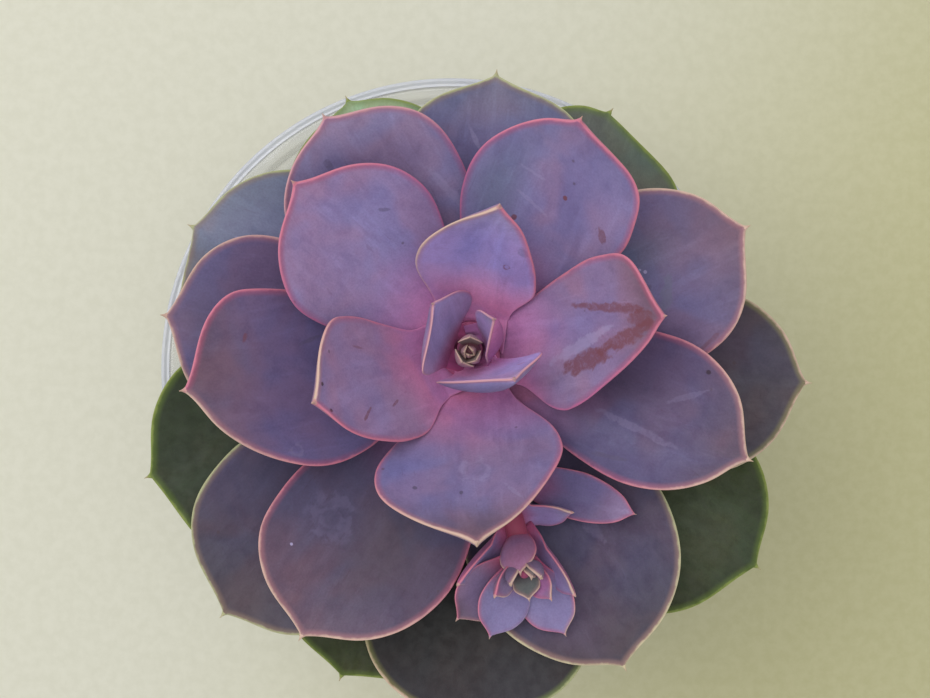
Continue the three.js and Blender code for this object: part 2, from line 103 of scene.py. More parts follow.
# leaf_01 to leaf_23, whose turns are off the spiral
LEAVES = [
    blade(3, 35, 22.6, (50, 64), sweep=-2.5, bias=0.07, lean=0.12, widest=(0.5, 0.36),
          tip_round=(1.9, 1.6)),
    blade(-21, 38, 25.4, (46, 62), bias=-0.03, lean=-0.15, widest=(0.42, 0.66), rise=(1, 1.25),
          tip_round=(2.1, 1.8)),
    blade(12, 42.5, 26.6, (44, 54), cup=0.13, bias=-0.06, lean=0.12, draw=0.8,
          widest=(0.72, 0.4), tip_round=(3.6, 1.35), tip_point=(0.7, 0.85)),
    blade(0, 47, 32, (36, 42)),
    blade(-3, 46, 34.6, (46, 62), cup=0.13, bias=-0.04, lean=-0.1, widest=(0.5, 0.6),
          rise=(1.25, 1.5), tip_round=(1.5, 2.1), tip_point=0.85),
    blade(4, 49.5, 32.2, (36, 42), sweep=5.5, lean=-0.1, draw=0.5, widest=(0.62, 0.7),
          rise=(1.25, 2), tip_round=(1.9, 4.6), tip_point=(0.72, 0.5)),
    blade(-4, 54, 34, (32, 34), bias=0.02, lean=-0.1, widest=(0.54, 0.72), rise=(1.25, 1.4),
          tip_round=(2.1, 2.5), tip_point=0.8),
    blade(8, 54.2, 28.8, (28, 26), bias=0.13, tip_round=(2.5, 2.1), tip_point=(0.72, 0.85)),
    blade(13, 52, 34, (30, 38), bias=-0.03, draw=0.6, tip_round=(3, 3.4)),
    blade(-8, 59.3, 37.2, (24, 16), bias=0.07, widest=(0.6, 0.7), rise=(1.25, 1.5),
          tip_round=(2.3, 2.3)),
    blade(-2, 55, 34, (26, 26), bias=-0.12, tip_round=(2.3, 2.9)),
    blade(9, 55, 36, (24, 18), bias=0.05, widest=(0.62, 0.7), rise=(1.25, 1.5),
          tip_round=(2.7, 2.4)),
    blade(-7, 63.2, 40.4, (18, 6), bias=0.05, tip_round=(2.3, 2)),
    blade(3, 50, 36.4, (24, 22), bias=-0.04, tip_round=(2.6, 3.5)),
    blade(7, 65.3, 39.6, (18, 5), bias=-0.03, widest=(0.62, 0.66), rise=(1.25, 1.7),
          tip_round=(2.9, 2.8)),
    blade(-4, 61.2, 36.6, (16, 5), bias=-0.08, tip_round=(2.4, 2.7)),
    blade(19, 54.6, 42, (18, 10), bias=0.04, lean=0.2, draw=0.6, tip_round=(3.8, 2.8)),
    blade(-3, 68.6, 46, (15, 5), bias=-0.03, tip_round=2.9, tip_point=0.62),
    blade(-4, 48.9, 38.4, (17, 8), sweep=9, draw=0.35, bias=-0.06, lean=(-0.34, -0.14),
          widest=(0.62, 0.74), tip_round=(2, 5.5), tip_point=(0.72, 0.4)),
    blade(9, 63.2, 41.2, (18, 3), bias=0.07, tip_round=(4.2, 2.7)),
    blade(-8, 66.4, 42, (16, 2), bias=-0.08, tip_round=(2.7, 3.2)),
    blade(6.5, 50.4, 35, (17, 9), bias=0.1, draw=0.5, tip_round=(3.2, 2.8)),
    blade(0.5, 65, 42, (15, 3), bias=0.08, tip_round=(3.6, 3.2)),
]

INNER = {"top": 16.6, "step": 0.9}
INNER_BLADE = {
    "thick": 2.6, "edge": 0.8, "root_width": 4.6, "cup": 0.22, "bend": 0.8,
    "mucro": 0.8, "mucro_radius": 0.4, "flare": 1,
}
INNER_LEAVES = [
    blade(288, 18.4, 19.2, (64, 88), sweep=6, lean=0.15, cup=0.27, rise=(0.8, 1.25)),
    blade(162, 13.6, 16.8, (73, 60), sweep=-6, cup=0.2, bias=0.06, lean=0.55, root_width=6,
          widest=(0.68, 0.54), tip_round=(4, 2.3), tip_point=(0.56, 0.72)),
    blade(14, 11.8, 7.4, (77, 80), sweep=4.4, cup=0.55, bias=0.1, root_width=6,
          tip_round=(3.2, 2.1)),
]

HEART = {
    "turn": 227, "length": 6.8, "width": 5.4, "root_width": 2.4, "thick": 1.3,
    "core_height": 3, "core_radius": 2.1, "rise": 0.45, "tilt": 6,
}
# Each heart leaf's size, and its pitch at base and tip
HEART_LEAVES = [
    (0.86, (50, 98)), (0.82, (50, 80)), (0.62, (54, 92)),
    (0.42, (60, 96)), (0.32, (66, 100)), (0.26, (70, 100)),
]

OFFSET = {
    "out": 40.4, "turn": -75.8, "height": 20, "tilt": 35, "facing": -83,
    "core_radius": 2.3, "core_top": 5.4,
}
OFFSET_BLADE = {
    "thick": 1.9, "edge": 0.7, "mucro": 0.8, "mucro_radius": 0.35, "cup": 0.2,
    "root_width": 3, "tip_round": 1.9, "widest": 0.56, "flare": 0.3,
}
# Points of the runner: out, turn, height, radius
RUNNER = [
    (6.9, 296, 5.9, 1.2), (9.5, 294, 7.4, 1.3), (14, 290, 9.6, 1.4),
    (24, 286, 14, 1.7), (33, 284.6, 17.2, 2),
]
OFFSET_LEAVES = [
    blade(-56, 16.2, 12.6, (14, 26), up=0),
    blade(24, 16.2, 10.4, (20, 32), up=0.6),
    blade(-33, 15, 10, (22, 34), up=1.1),
    blade(-160, 11.6, 7, (66, 102), up=-4.6),
    blade(47, 7.2, 4.6, (42, 58), up=2.8),
    blade(-79, 7.5, 4.8, (42, 58), up=3),
    blade(4, 5, 4.6, (50, 70), up=3.6),
    blade(126, 5.4, 3.6, (54, 78), up=3.6),
    blade(-118, 5.2, 3.2, (56, 80), up=4),
    blade(136, 2.8, 2.2, (70, 90), up=4.6),
]
# at is the root's place: out, turn, height
RUNNER_LEAVES = [
    blade(-17, 25, 8.8, (10, 14), at=(25, 287, 14)),
    blade(2, 11.6, 6.2, (10, 20), roll=50, thick=1.7, at=(32.5, 283.4, 17.4)),
    blade(-51, 16.3, 6, (14, 28), roll=56, widest=0.6, at=(35.3, 285.6, 17.2)),
    blade(-137, 15.6, 5.8, (16, 32), roll=-62, widest=0.6, at=(35.3, 284.6, 17.2)),
]

# --- leaf colours

LILAC, MAUVE, VIOLET = (164, 138, 184), (148, 122, 154), (140, 125, 162)
PLUM, DUSK, SLATE = (110, 96, 134), (124, 112, 146), (112, 116, 136)
SHADOW, UMBER, OLIVE = (86, 76, 102), (86, 76, 82), (52, 50, 42)
SAGE, ASH, FERN, LEMON = (96, 112, 92), (112, 114, 108), (50, 62, 28), (64, 74, 12)
# The root colours, BLUSH most of all, are lighter than the leaf bases' own pink: painted light
# against the shade that falls between the leaves.
BLUSH, ORCHID, WINE = (204, 136, 178), (168, 104, 148), (122, 92, 124)
PEARL, ROSY, BLUE = (158, 142, 170), (118, 94, 108), (118, 118, 172)
CORAL, ROSE, CREAM = (206, 120, 140), (192, 106, 146), (212, 180, 160)
PINK, STRAW = (204, 152, 156), (204, 192, 154)
# LIME and PALE_LIME, on the low leaves' margins, are partly the margins' own yellow-green and
# partly a painted glow of light shining through the thin edge.
LIME, PALE_LIME = (132, 146, 66), (176, 178, 132)
BROWN, INK, PALE, BEIGE = (116, 64, 72), (52, 34, 46), (170, 160, 196), (198, 166, 148)
SPINE, MOSS, PEWTER = (190, 166, 136), (128, 152, 116), (130, 132, 144)


def looks(body, root, tip, light, left, right=None, patches=(), marks=(), **more):
    """A leaf's looks, with both margins alike where one is given."""
    return dict(body=body, root=root, tip=tip, light=light, left=left, right=right or left,
                patches=patches, marks=marks, **more)


# light makes body, root and tip lighter or darker. It holds each leaf's own tone and also
# painted light and shade: leaves that lie low under others are made darker, and the
# steep inner leaves lighter. A margin is one colour, or a pair for its root and its tip.
# A patch is (share of length, across, its two sizes, colour, strength). A mark is in
# millimetres: (along, across, half length, half width, turn, colour, strength), ragged if
# no kind is added.
SKINS = {
    "leaf_01": looks(LILAC, BLUSH, PEARL, 1.12, CREAM, CORAL,
        patches=[(0.66, 0.25, 0.22, 0.3, BLUE, 0.55), (0.62, -0.3, 0.2, 0.22, BLUE, 0.45)],
        marks=[(18.1, -4.5, 0.9, 0.7, 0, BROWN, 0.8, "ring"),
            (24, -6.5, 1.6, 1.1, 30, SHADOW, 0.4)]),
    "leaf_02": looks(MAUVE, BLUSH, MAUVE, 1.06, CORAL, (CORAL, CREAM),
        patches=[(0.5, 0.5, 0.2, 0.4, VIOLET, 0.6)],
        marks=[(35.2, -2.6, 0.6, 0.5, 0, INK, 0.9, "plain"),
            (35.2, 2.3, 0.5, 0.4, 0, INK, 0.9, "plain"), (25.5, 5, 2.4, 0.35, 25, BROWN, 0.7),
            (17, 5, 1.3, 0.3, 20, BROWN, 0.6), (21, -7, 1.8, 0.3, -20, BROWN, 0.45)]),
    "leaf_03": looks(MAUVE, BLUSH, ROSY, 0.94, CORAL, (ROSE, CORAL),
        patches=[(0.5, 0.1, 0.26, 0.3, BLUE, 0.3), (0.35, -0.55, 0.2, 0.3, PEARL, 0.6)],
        marks=[(23.6, -5.5, 7, 2.1, 12, BROWN, 0.8), (33.5, -2.6, 8, 1.6, 13, BROWN, 0.8),
            (37.5, 0.4, 3.6, 1.6, 0, BROWN, 0.7), (30.2, 3.1, 9, 1.1, -10, BROWN, 0.75),
            (21.5, -2.6, 9, 1.3, 16, PALE, 0.36, "plain")]),
    "leaf_04": looks(VIOLET, BLUSH, MAUVE, 1.16, (ROSE, CORAL),
        patches=[(0.55, 0.4, 0.3, 0.35, MAUVE, 0.7)],
        marks=[(30, -8, 1.5, 0.4, 40, SHADOW, 0.5)]),
    "leaf_05": looks(VIOLET, BLUSH, ROSY, 0.9, (CORAL, CREAM),
        patches=[(0.55, -0.75, 0.2, 0.3, BLUE, 0.5), (0.9, 0.2, 0.1, 0.5, UMBER, 0.3)],
        # The pale ring and the shadow ring are painted light and shade of a shallow dimple.
        marks=[(25.5, 0.3, 3.6, 3.2, 0, PALE, 0.22, "ring"),
            (25, 0.3, 2.1, 2.1, 0, SHADOW, 0.2, "ring"),
            (31.7, -2.5, 0.6, 0.4, 0, SHADOW, 0.8, "plain"),
            (30.2, -10.8, 0.5, 0.4, 0, SHADOW, 0.8, "plain"), (33, 7, 3, 0.4, 30, PALE, 0.2)]),
    "leaf_06": looks(VIOLET, BLUSH, DUSK, 1.04, (ROSE, CORAL), CORAL,
        patches=[(0.6, 0.65, 0.25, 0.35, SLATE, 0.8), (0.7, -0.3, 0.2, 0.3, PLUM, 0.5)],
        marks=[(34.2, -2.4, 0.6, 0.5, 0, BROWN, 0.9, "plain"),
            (25.4, 5, 0.7, 0.5, 0, BROWN, 0.8, "plain"), (31.6, -11.4, 1.6, 0.8, 30, BROWN, 0.6),
            (30, 3, 4.5, 0.4, 70, PALE, 0.25), (36, 5, 3.5, 0.35, 80, PALE, 0.2)]),
    "leaf_07": looks(PLUM, ORCHID, ROSY, 0.9, (CORAL, CREAM), CORAL,
        patches=[(0.85, -0.2, 0.14, 0.5, ROSY, 0.5)],
        # The dusk ring is painted shade of a shallow dimple.
        marks=[(35.9, 13.8, 1.5, 1.2, 0, DUSK, 0.5, "ring"), (41, -8, 1.2, 0.5, 60, BROWN, 0.6),
            (28, -6, 3, 0.4, 15, SHADOW, 0.5)]),
    "leaf_08": looks(PLUM, BLUSH, ROSY, 0.7, (CORAL, CREAM),
        patches=[(0.62, -0.4, 0.3, 0.16, DUSK, 0.8), (0.45, 0.3, 0.2, 0.3, SHADOW, 0.5)],
        marks=[(42, 12.4, 0.6, 0.5, 0, INK, 0.8, "plain"), (33, -2.3, 9, 0.8, -4, DUSK, 0.4),
            (40, 7, 4, 0.6, 35, DUSK, 0.35), (30, -9, 4, 0.5, 10, SHADOW, 0.5)]),
    "leaf_09": looks(DUSK, LILAC, PEARL, 1.02, PINK, (ROSE, PINK),
        patches=[(0.5, -0.75, 0.22, 0.28, PALE, 0.45), (0.72, 0.2, 0.16, 0.4, PLUM, 0.6)],
        marks=[(27, -12.5, 6, 0.9, 12, PALE, 0.4), (44, 4, 1.2, 0.8, 0, SHADOW, 0.5)]),
    "leaf_10": looks(SHADOW, BLUSH, ROSY, 0.86, (CORAL, CREAM),
        patches=[(0.62, 0.3, 0.25, 0.4, UMBER, 0.5), (0.8, -0.5, 0.15, 0.3, ROSY, 0.35)],
        marks=[(46, -10.4, 0.35, 0.35, 0, PALE, 0.9, "plain"),
            # These two dusk rings are painted shade of shallow dimples.
            (37.8, -6.5, 4.6, 4.6, 0, DUSK, 0.2, "ring"),
            (37.8, -6.5, 2.6, 2.6, 0, DUSK, 0.18, "ring")]),
    "leaf_11": looks(DUSK, ORCHID, ROSY, 0.97, CREAM, (CORAL, CREAM),
        patches=[(0.55, 0.25, 0.2, 0.3, SLATE, 0.8), (0.5, -0.6, 0.25, 0.3, PLUM, 0.6)],
        marks=[(34.1, 0, 0.32, 0.3, 0, PALE, 0.9, "plain"),
            (33.3, 0.8, 0.25, 0.25, 0, PALE, 0.9, "plain"), (36, -6, 4, 1.2, 60, SLATE, 0.5),
            (33, -3, 1, 0.8, 0, SHADOW, 0.6), (40.4, -17, 4, 0.5, 20, BROWN, 0.45)]),
    "leaf_12": looks(PLUM, ORCHID, DUSK, 0.86, (ROSY, BEIGE), (PINK, BEIGE),
        patches=[(0.9, 0, 0.1, 0.5, ROSY, 0.4)],
        marks=[(33, 4, 0.8, 0.6, 0, ORCHID, 0.5, "plain")]),
    # From leaf_13 on, the lime and pale lime margins carry a painted glow of light through the thin
    # edge, and edge_scale widens that band on some leaves.
    "leaf_13": looks(SHADOW, WINE, UMBER, 0.74, (PALE_LIME, STRAW), STRAW,
        patches=[(0.55, 0.35, 0.2, 0.35, PLUM, 0.35), (0.75, -0.4, 0.2, 0.35, PLUM, 0.3)],
        marks=[(50.4, -10.3, 0.7, 0.5, 0, INK, 0.7, "plain"), (36, 6, 6, 1.2, 10, DUSK, 0.3),
            (40, -6, 5, 1.5, -20, UMBER, 0.5)]),
    "leaf_14": looks(DUSK, WINE, SLATE, 1.1, PALE_LIME,
        patches=[(0.5, 0.3, 0.25, 0.5, SHADOW, 0.4)],
        marks=[(38, 3, 3, 0.5, 30, PALE, 0.3)]),
    "leaf_15": looks(SHADOW, WINE, UMBER, 0.8, PALE_LIME,
        patches=[(0.75, 0.3, 0.2, 0.4, UMBER, 0.6)]),
    "leaf_16": looks(UMBER, SHADOW, UMBER, 0.78, (PALE_LIME, CREAM),
        patches=[(0.75, 0.4, 0.2, 0.4, SHADOW, 0.6)],
        marks=[(48, -6, 0.6, 0.4, 0, INK, 0.6, "plain")]),
    "leaf_17": looks(SLATE, UMBER, PEWTER, 0.98, (LIME, PALE_LIME),
        patches=[(0.7, -0.2, 0.25, 0.4, PALE, 0.25), (0.75, 0.6, 0.2, 0.3, SAGE, 0.5)],
        marks=[(45, 8, 0.8, 0.6, 0, INK, 0.7, "plain"), (44, -2, 3, 0.5, 10, PALE, 0.4)]),
    "leaf_18": looks(OLIVE, OLIVE, UMBER, 0.35, (LIME, PALE_LIME), (LIME, CREAM),
        patches=[(0.85, 0.3, 0.2, 0.5, UMBER, 0.4)]),
    "leaf_19": looks(ASH, WINE, SAGE, 0.84, LIME, edge_scale=1.1,
        patches=[(0.7, 0.3, 0.2, 0.4, SLATE, 0.7)],
        marks=[(40, 2, 1.2, 0.8, 0, BROWN, 0.5)]),
    "leaf_20": looks(FERN, OLIVE, FERN, 0.66, LIME, edge_scale=1.2,
        patches=[(0.7, 0.2, 0.2, 0.4, SAGE, 0.2)]),
    "leaf_21": looks(LEMON, OLIVE, FERN, 0.74, LIME, edge_scale=1.1,
        patches=[(0.8, 0, 0.15, 0.5, SAGE, 0.3)]),
    "leaf_22": looks(SAGE, UMBER, MOSS, 1.7, LIME),
    "leaf_23": looks(LEMON, OLIVE, LEMON, 0.55, LIME),
    "inner_leaf_1": looks(LILAC, BLUSH, PEARL, 1.3, (CORAL, PINK), PINK, edge_scale=0.42,
        under=DUSK, patches=[(0.6, 0.5, 0.2, 0.4, PALE, 0.4)],
        marks=[(11, 6, 1.4, 0.3, 20, ORCHID, 0.6)]),
    "inner_leaf_2": looks(MAUVE, (160, 76, 112), VIOLET, 1.3, PINK, (CORAL, PINK),
        edge_scale=0.5, patches=[(0.6, 0.1, 0.25, 0.5, VIOLET, 0.8)]),
    "inner_leaf_3": looks(LILAC, ORCHID, PEARL, 1.05, PINK, edge_scale=0.42, under=ORCHID),
    "heart_leaves": looks((150, 126, 112), (126, 74, 82), (160, 140, 116), 1, BEIGE,
        edge_scale=0.4, under=(170, 128, 130), line=0.1),
    "offset_rosette": looks(VIOLET, (176, 84, 118), VIOLET, 0.95, (CORAL, CREAM), CORAL,
        edge_scale=0.6, line=0.4),
}
# The offset's leaves that differ from the rest of it
DRY = dict(left=(BEIGE, CREAM), right=(BEIGE, CREAM))
OFFSET_LOOKS = {
    0: dict(body=MAUVE, tip=ROSY, light=0.8),
    2: dict(left=PEARL),
    3: dict(body=MAUVE, root=(172, 66, 92), tip=ORCHID, under=(150, 108, 140),
            left=CREAM, right=(CORAL, CREAM), light=1.1),
    4: dict(body=ORCHID, tip=MAUVE, light=0.9),
    5: dict(body=MAUVE, tip=ORCHID, left=CREAM, light=0.85),
    6: dict(body=ASH, root=UMBER, tip=ASH, light=0.9, **DRY),
    7: dict(body=MAUVE, root=UMBER, light=0.75, **DRY),
    8: dict(body=MAUVE, root=UMBER, light=0.75, **DRY),
    9: dict(body=ASH, root=UMBER, **DRY),
}
# The runner's leaves, the last two of which stand on edge
SIDEWAYS = dict(body=LILAC, under=(158, 96, 138), light=0.95)
RUNNER_LOOKS = [
    dict(body=PLUM, tip=VIOLET, light=1, left=CORAL),
    dict(body=LILAC, tip=PEARL, light=0.92), SIDEWAYS, SIDEWAYS,
]
RUNNER_TINT = (150, 60, 84)


def linear(colour):
    """An sRGB colour as linear light."""
    c = np.asarray(colour, float) / 255
    return np.where(c <= 0.04045, c / 12.92, ((c + 0.055) / 1.055) ** 2.4)


def smooth(x, low, high):
    """0 below low, 1 above high, with an even curve between."""
    t = np.clip((np.asarray(x, float) - low) / (high - low), 0, 1)
    return t * t * (3 - 2 * t)


def blend(a, b, share):
    share = np.asarray(share, float)[..., None]
    return a * (1 - share) + b * share


# --- mesh building


class Build:
    """Collects parts of one mesh, with their attributes, and makes the object."""

    def __init__(self):
        self.points, self.faces, self.attributes, self.count = [], [], {}, 0

    def add(self, points, faces, **attributes):
        self.points.append(np.asarray(points, float))
        self.faces.extend([tuple(i + self.count for i in face) for face in faces])
        for name, values in attributes.items():
            self.attributes.setdefault(name, []).append(np.asarray(values, float))
        self.count += len(points)

    def object(self, name):
        mesh = bpy.data.meshes.new(name)
        mesh.from_pydata((np.concatenate(self.points) * MM).tolist(), [], self.faces)
        for key, parts in self.attributes.items():
            values = np.concatenate(parts)
            vector = values.ndim == 2
            kind, field = ("FLOAT_VECTOR", "vector") if vector else ("FLOAT", "value")
            attribute = mesh.attributes.new(key, kind, "POINT")
            attribute.data.foreach_set(field, values.ravel().astype(np.float32))
        mesh.polygons.foreach_set("use_smooth", [True] * len(mesh.polygons))
        made = bpy.data.objects.new(name, mesh)
        scene.collection.objects.link(made)
        return made


def loft_faces(loops, count):
    """Faces of a stack of equal loops, with each end closed by a strip."""
    faces = []
    for i in range(loops - 1):
        for j in range(count):
            a, b = i * count + j, i * count + (j + 1) % count
            faces.append((a, b, b + count, a + count))
    end = (loops - 1) * count
    for j in range(count // 2 - 1):
        a, b, c, d = j, j + 1, count - 2 - j, count - 1 - j
        faces.append((a, d, c, b))
        faces.append((end + a, end + b, end + c, end + d))
    return faces


def circle(radius, z, angle):
    """Points round the pot's axis. The radius may differ from point to point."""
    return np.stack([radius * np.cos(angle), radius * np.sin(angle), np.full(len(angle), z)], 1)


def full_turn(sides):
    return np.arange(sides) * 2 * math.pi / sides


def turned(points, degrees, height):
    """Points turned round the upright axis and raised."""
    a = math.radians(degrees)
    x, y, z = points.T
    x, y = x * math.cos(a) - y * math.sin(a), x * math.sin(a) + y * math.cos(a)
    return np.stack([x, y, z + height], 1)


def placed(points, matrix):
    """Points put in place by a 4 by 4 matrix."""
    m = np.array(matrix)
    return points @ m[:3, :3].T + m[:3, 3]


def distance_to_lines(points, starts, ends):
    """How far each point is from the nearest of some straight lines."""
    best = np.full(len(points), 1e9)
    for a, b in zip(starts, ends):
        ab = b - a
        t = np.clip((points - a) @ ab / max(ab @ ab, 1e-9), 0, 1)
        best = np.minimum(best, np.linalg.norm(points - a - t[:, None] * ab, axis=1))
    return best


# --- one leaf


def side_value(value, v):
    """A value for both halves, or the half's own from a pair."""
    if isinstance(value, tuple):
        return np.where(v < 0, value[1], value[0])
    return np.full(np.shape(v), float(value))


def outline(leaf, s, v):
    """Share of the leaf's half width at a share of its length."""
    widest = side_value(leaf["widest"], v)
    root = leaf["root_width"] / leaf["width"]
    x = np.clip(s / widest, 0, 1)
    before = root + (1 - root) * np.sin(x * math.pi / 2) ** side_value(leaf["rise"], v)
    x = np.clip((s - widest) / (1 - widest), 0, 1)
    after = (1 - x ** side_value(leaf["tip_round"], v)) ** side_value(leaf["tip_point"], v)
    return np.where(s < widest, before, after)


def cusp_width(leaf, before_end):
    """Half the width of the cusp, at a distance before the end of the blade."""
    share = (before_end / leaf["mucro"] + 1) ** 2
    return leaf["mucro_radius"] * (0.12 + 1.7 * share / (1.6 + 0.3 * share))


def fine_leaf(row, seat, rows=56, across=27, arc=5, on_stem=True, seed=0):
    """A leaf in its own frame, in rows of closed loops from root to tip.

    s is the share of the length, v runs from -1 at the right margin to 1 at the left
    one, and under is 1 on the lower face.
    """
    leaf = {**BLADE, **row}
    rng = np.random.default_rng(seed)
    # The margin is about half as thick as the blade just inside it
    thin = 0.52 * leaf["edge"]
    start, end = (math.radians(p) for p in leaf["pitch"])
    length, steps = leaf["length"], 160
    middle = (np.arange(steps) + 0.5) / steps
    pitches = start + (end - start) * middle ** leaf["bend"]
    walked = np.zeros((steps + 1, 3))
    walked[:, 0] = seat
    walked[1:, 0] += np.cumsum(np.cos(pitches)) * length / steps
    walked[1:, 2] += np.cumsum(np.sin(pitches)) * length / steps

    # The lower face runs from right to left, and the upper one back
    t = np.linspace(-1, 1, across)
    lower_v = np.sign(t) * (1 - (1 - np.abs(t)) ** 1.5)
    upper_v = lower_v[::-1]
    arc_angle = np.radians(np.linspace(-90, 90, arc + 2)[1:-1])
    phases = rng.uniform(0, 2 * math.pi, (4, 3))
    waves = rng.uniform(0.05, 0.16, (4, 2))
    wobble = rng.uniform(0, 2 * math.pi, 6)
    size = min(1.0, leaf["width"] / 20)

    def relief(x, y, v, s, half):
        """Low waves in the blade, a shallow channel by the margin and along the middle."""
        out = np.zeros_like(y)
        for (wx, wy), (a, b, c) in zip(waves, phases):
            out += 0.09 * np.sin(wx * x + a) * np.sin(wy * y + b + 0.3 * c)
        out *= smooth(s, 0.05, 0.3) * size
        inside = half * (1 - np.abs(v))
        strength = np.sin(math.pi * np.clip(s, 0.02, 0.98)) ** 0.5 * size
        out -= 0.05 * strength * np.exp(-(((inside - 1.0) / 0.5) ** 2))
        out -= 0.16 * smooth(s, 0.5, 0.95) * size * np.exp(-((y / (1.6 * size)) ** 2))
        return out

    # Rows lie closer together towards the tip
    shares = 1 - (1 - np.linspace(0, 1, rows)) ** 1.5
    points, at_s, at_v, under, flat = [], [], [], [], []
    for s in shares:
        pitch = start + (end - start) * s ** leaf["bend"]
        roll = math.radians(leaf["roll"]) * min(1, s / 0.4)
        along = np.array([math.cos(pitch), 0, math.sin(pitch)])
        side = np.array(Matrix.Rotation(roll, 3, Vector(along)) @ Vector((0, 1, 0)))
        up = np.cross(along, side)
        place = s * steps
        i = min(int(place), steps - 1)
        centre = walked[i] + (walked[i + 1] - walked[i]) * (place - i)
        centre = centre + np.array([0, leaf["sweep"] * s * s, 0])
        fade = math.sin(math.pi * (0.1 + 0.9 * s)) ** 0.7
        spine = leaf["mucro_radius"]
        thick = spine * 2 + (leaf["thick"] - spine * 2) * fade
        rim = min(leaf["edge"], thick)

        def width_at(v):
            """Half the width, with a slight unevenness, running out into the cusp."""
            wave = 1 + 0.007 * np.sin(9 * s + wobble[0] + 2 * np.sign(v))
            wave = wave + 0.005 * np.sin(23 * s + wobble[1] - np.sign(v))
            half = leaf["width"] / 2 * outline(leaf, s, v) * wave
            half = half + leaf["flare"] * math.exp(-((s / 0.1) ** 2))
            reach = leaf["draw"] * (0.4 + 2 * size)
            half = half * (1 - 0.5 * math.exp(-(((1 - s) * length / reach) ** 2)))
            return (half**2.4 + cusp_width(leaf, (1 - s) * length) ** 2.4) ** (1 / 2.4)

        def surface(v, top):
            """One row of the upper or the lower face."""
            half = width_at(v)
            bulge = np.minimum(0.5 * thin, 0.5 * half)
            y = (half - bulge) * (v + leaf["bias"] * np.abs(v))
            raised = leaf["cup"] * half * min(1, 0.35 + s) * np.abs(v) ** 1.8
            pinch = (rim - min(thin, rim)) * np.abs(v) ** 5
            depth = rim + (thick - rim) * (1 - np.abs(v) ** 1.7) - pinch
            raised = raised - pinch / 2
            z = raised + relief(s * length, y, v, s, half) if top else raised - depth
            if not top:
                keel = 0.25 * smooth(s, 0.4, 0.9) * size * np.exp(-((y / (2.2 * size)) ** 2))
                z = z - keel
            lean = side_value(leaf["lean"], v) * y * math.sin(math.pi * s)
            p = centre + side * y[:, None] + up * z[:, None] + along * lean[:, None]
            return p, y, bulge

        def margin(first, second, reach, a):
            """The rounded edge from one face to the other."""
            mid, radius = (first + second) / 2, np.linalg.norm(first - second) / 2
            p = mid + side * (reach * np.cos(a))[:, None] + up * (radius * np.sin(a))[:, None]
            return p, np.full(arc, mid @ side)

        low, low_y, _ = surface(lower_v, False)
        high, high_y, bulge = surface(upper_v, True)
        left, left_y = margin(low[-1], high[0], bulge[0], arc_angle)
        right, right_y = margin(high[-1], low[0], -bulge[-1], arc_angle[::-1])
        loop = np.concatenate([low, left, high, right])
        # The root's end is hollowed to the stem's round
        if s == 0 and on_stem:
            loop[:, 0] = np.sqrt(np.maximum(seat**2 - loop[:, 1] ** 2, 0))
        points.append(loop)
        arc_under = 0.5 - 0.5 * np.sin(arc_angle)
        at_v.append(np.concatenate([lower_v, np.ones(arc), upper_v, -np.ones(arc)]))
        sides = [np.ones(across), arc_under, np.zeros(across), arc_under[::-1]]
        under.append(np.concatenate(sides))
        ys = np.concatenate([low_y, left_y, high_y, right_y])
        flat.append(np.stack([np.full(len(loop), s * length), ys, under[-1] * 40], 1))
        at_s.append(np.full(len(loop), s))
    count = len(points[0])

    # The mucro, a soft spine that curves up past the blade and tapers
    last = points[-1]
    here = last.mean(0)
    sideways = (last - here) @ side
    offset = last - here - sideways[:, None] * side
    steps_out = 8
    for k in range(1, steps_out + 1):
        share = k / steps_out
        pitch = end + math.radians(leaf["mucro_lift"]) * (0.2 + 0.9 * share)
        here = here + np.array([math.cos(pitch), 0, math.sin(pitch)]) * leaf["mucro"] / steps_out
        narrow = cusp_width(leaf, -leaf["mucro"] * share) / cusp_width(leaf, 0)
        flatter = 0.12 + 0.88 * (1 - share) ** 0.7
        points.append(here + sideways[:, None] * side * narrow + offset * flatter)
        at_s.append(np.full(count, 1 + share * 0.06))
        at_v.append(at_v[-1] * 0)
        under.append(under[-1] * 0.5)
        flat.append(flat[-1] + np.array([leaf["mucro"] / steps_out, 0, 0]))

    # rim is how far a point is from the margin, which runs on into the mucro
    left = np.array([loop[across + arc // 2] for loop in points[:rows]])
    right = np.array([loop[2 * across + arc + arc // 2] for loop in points[:rows]])
    mucro = np.array([loop.mean(0) for loop in points[rows - 1:]])
    starts = np.concatenate([left[:-1], right[:-1], mucro[:-1]])
    ends = np.concatenate([left[1:], right[1:], mucro[1:]])
    everything = np.concatenate(points)
    rim = distance_to_lines(everything, starts, ends)
    rim[rows * count:] = 0
    return dict(
        points=everything, faces=loft_faces(len(points), count), rim=rim, s=np.concatenate(at_s),
        v=np.concatenate(at_v), under=np.concatenate(under), flat=np.concatenate(flat),
    )


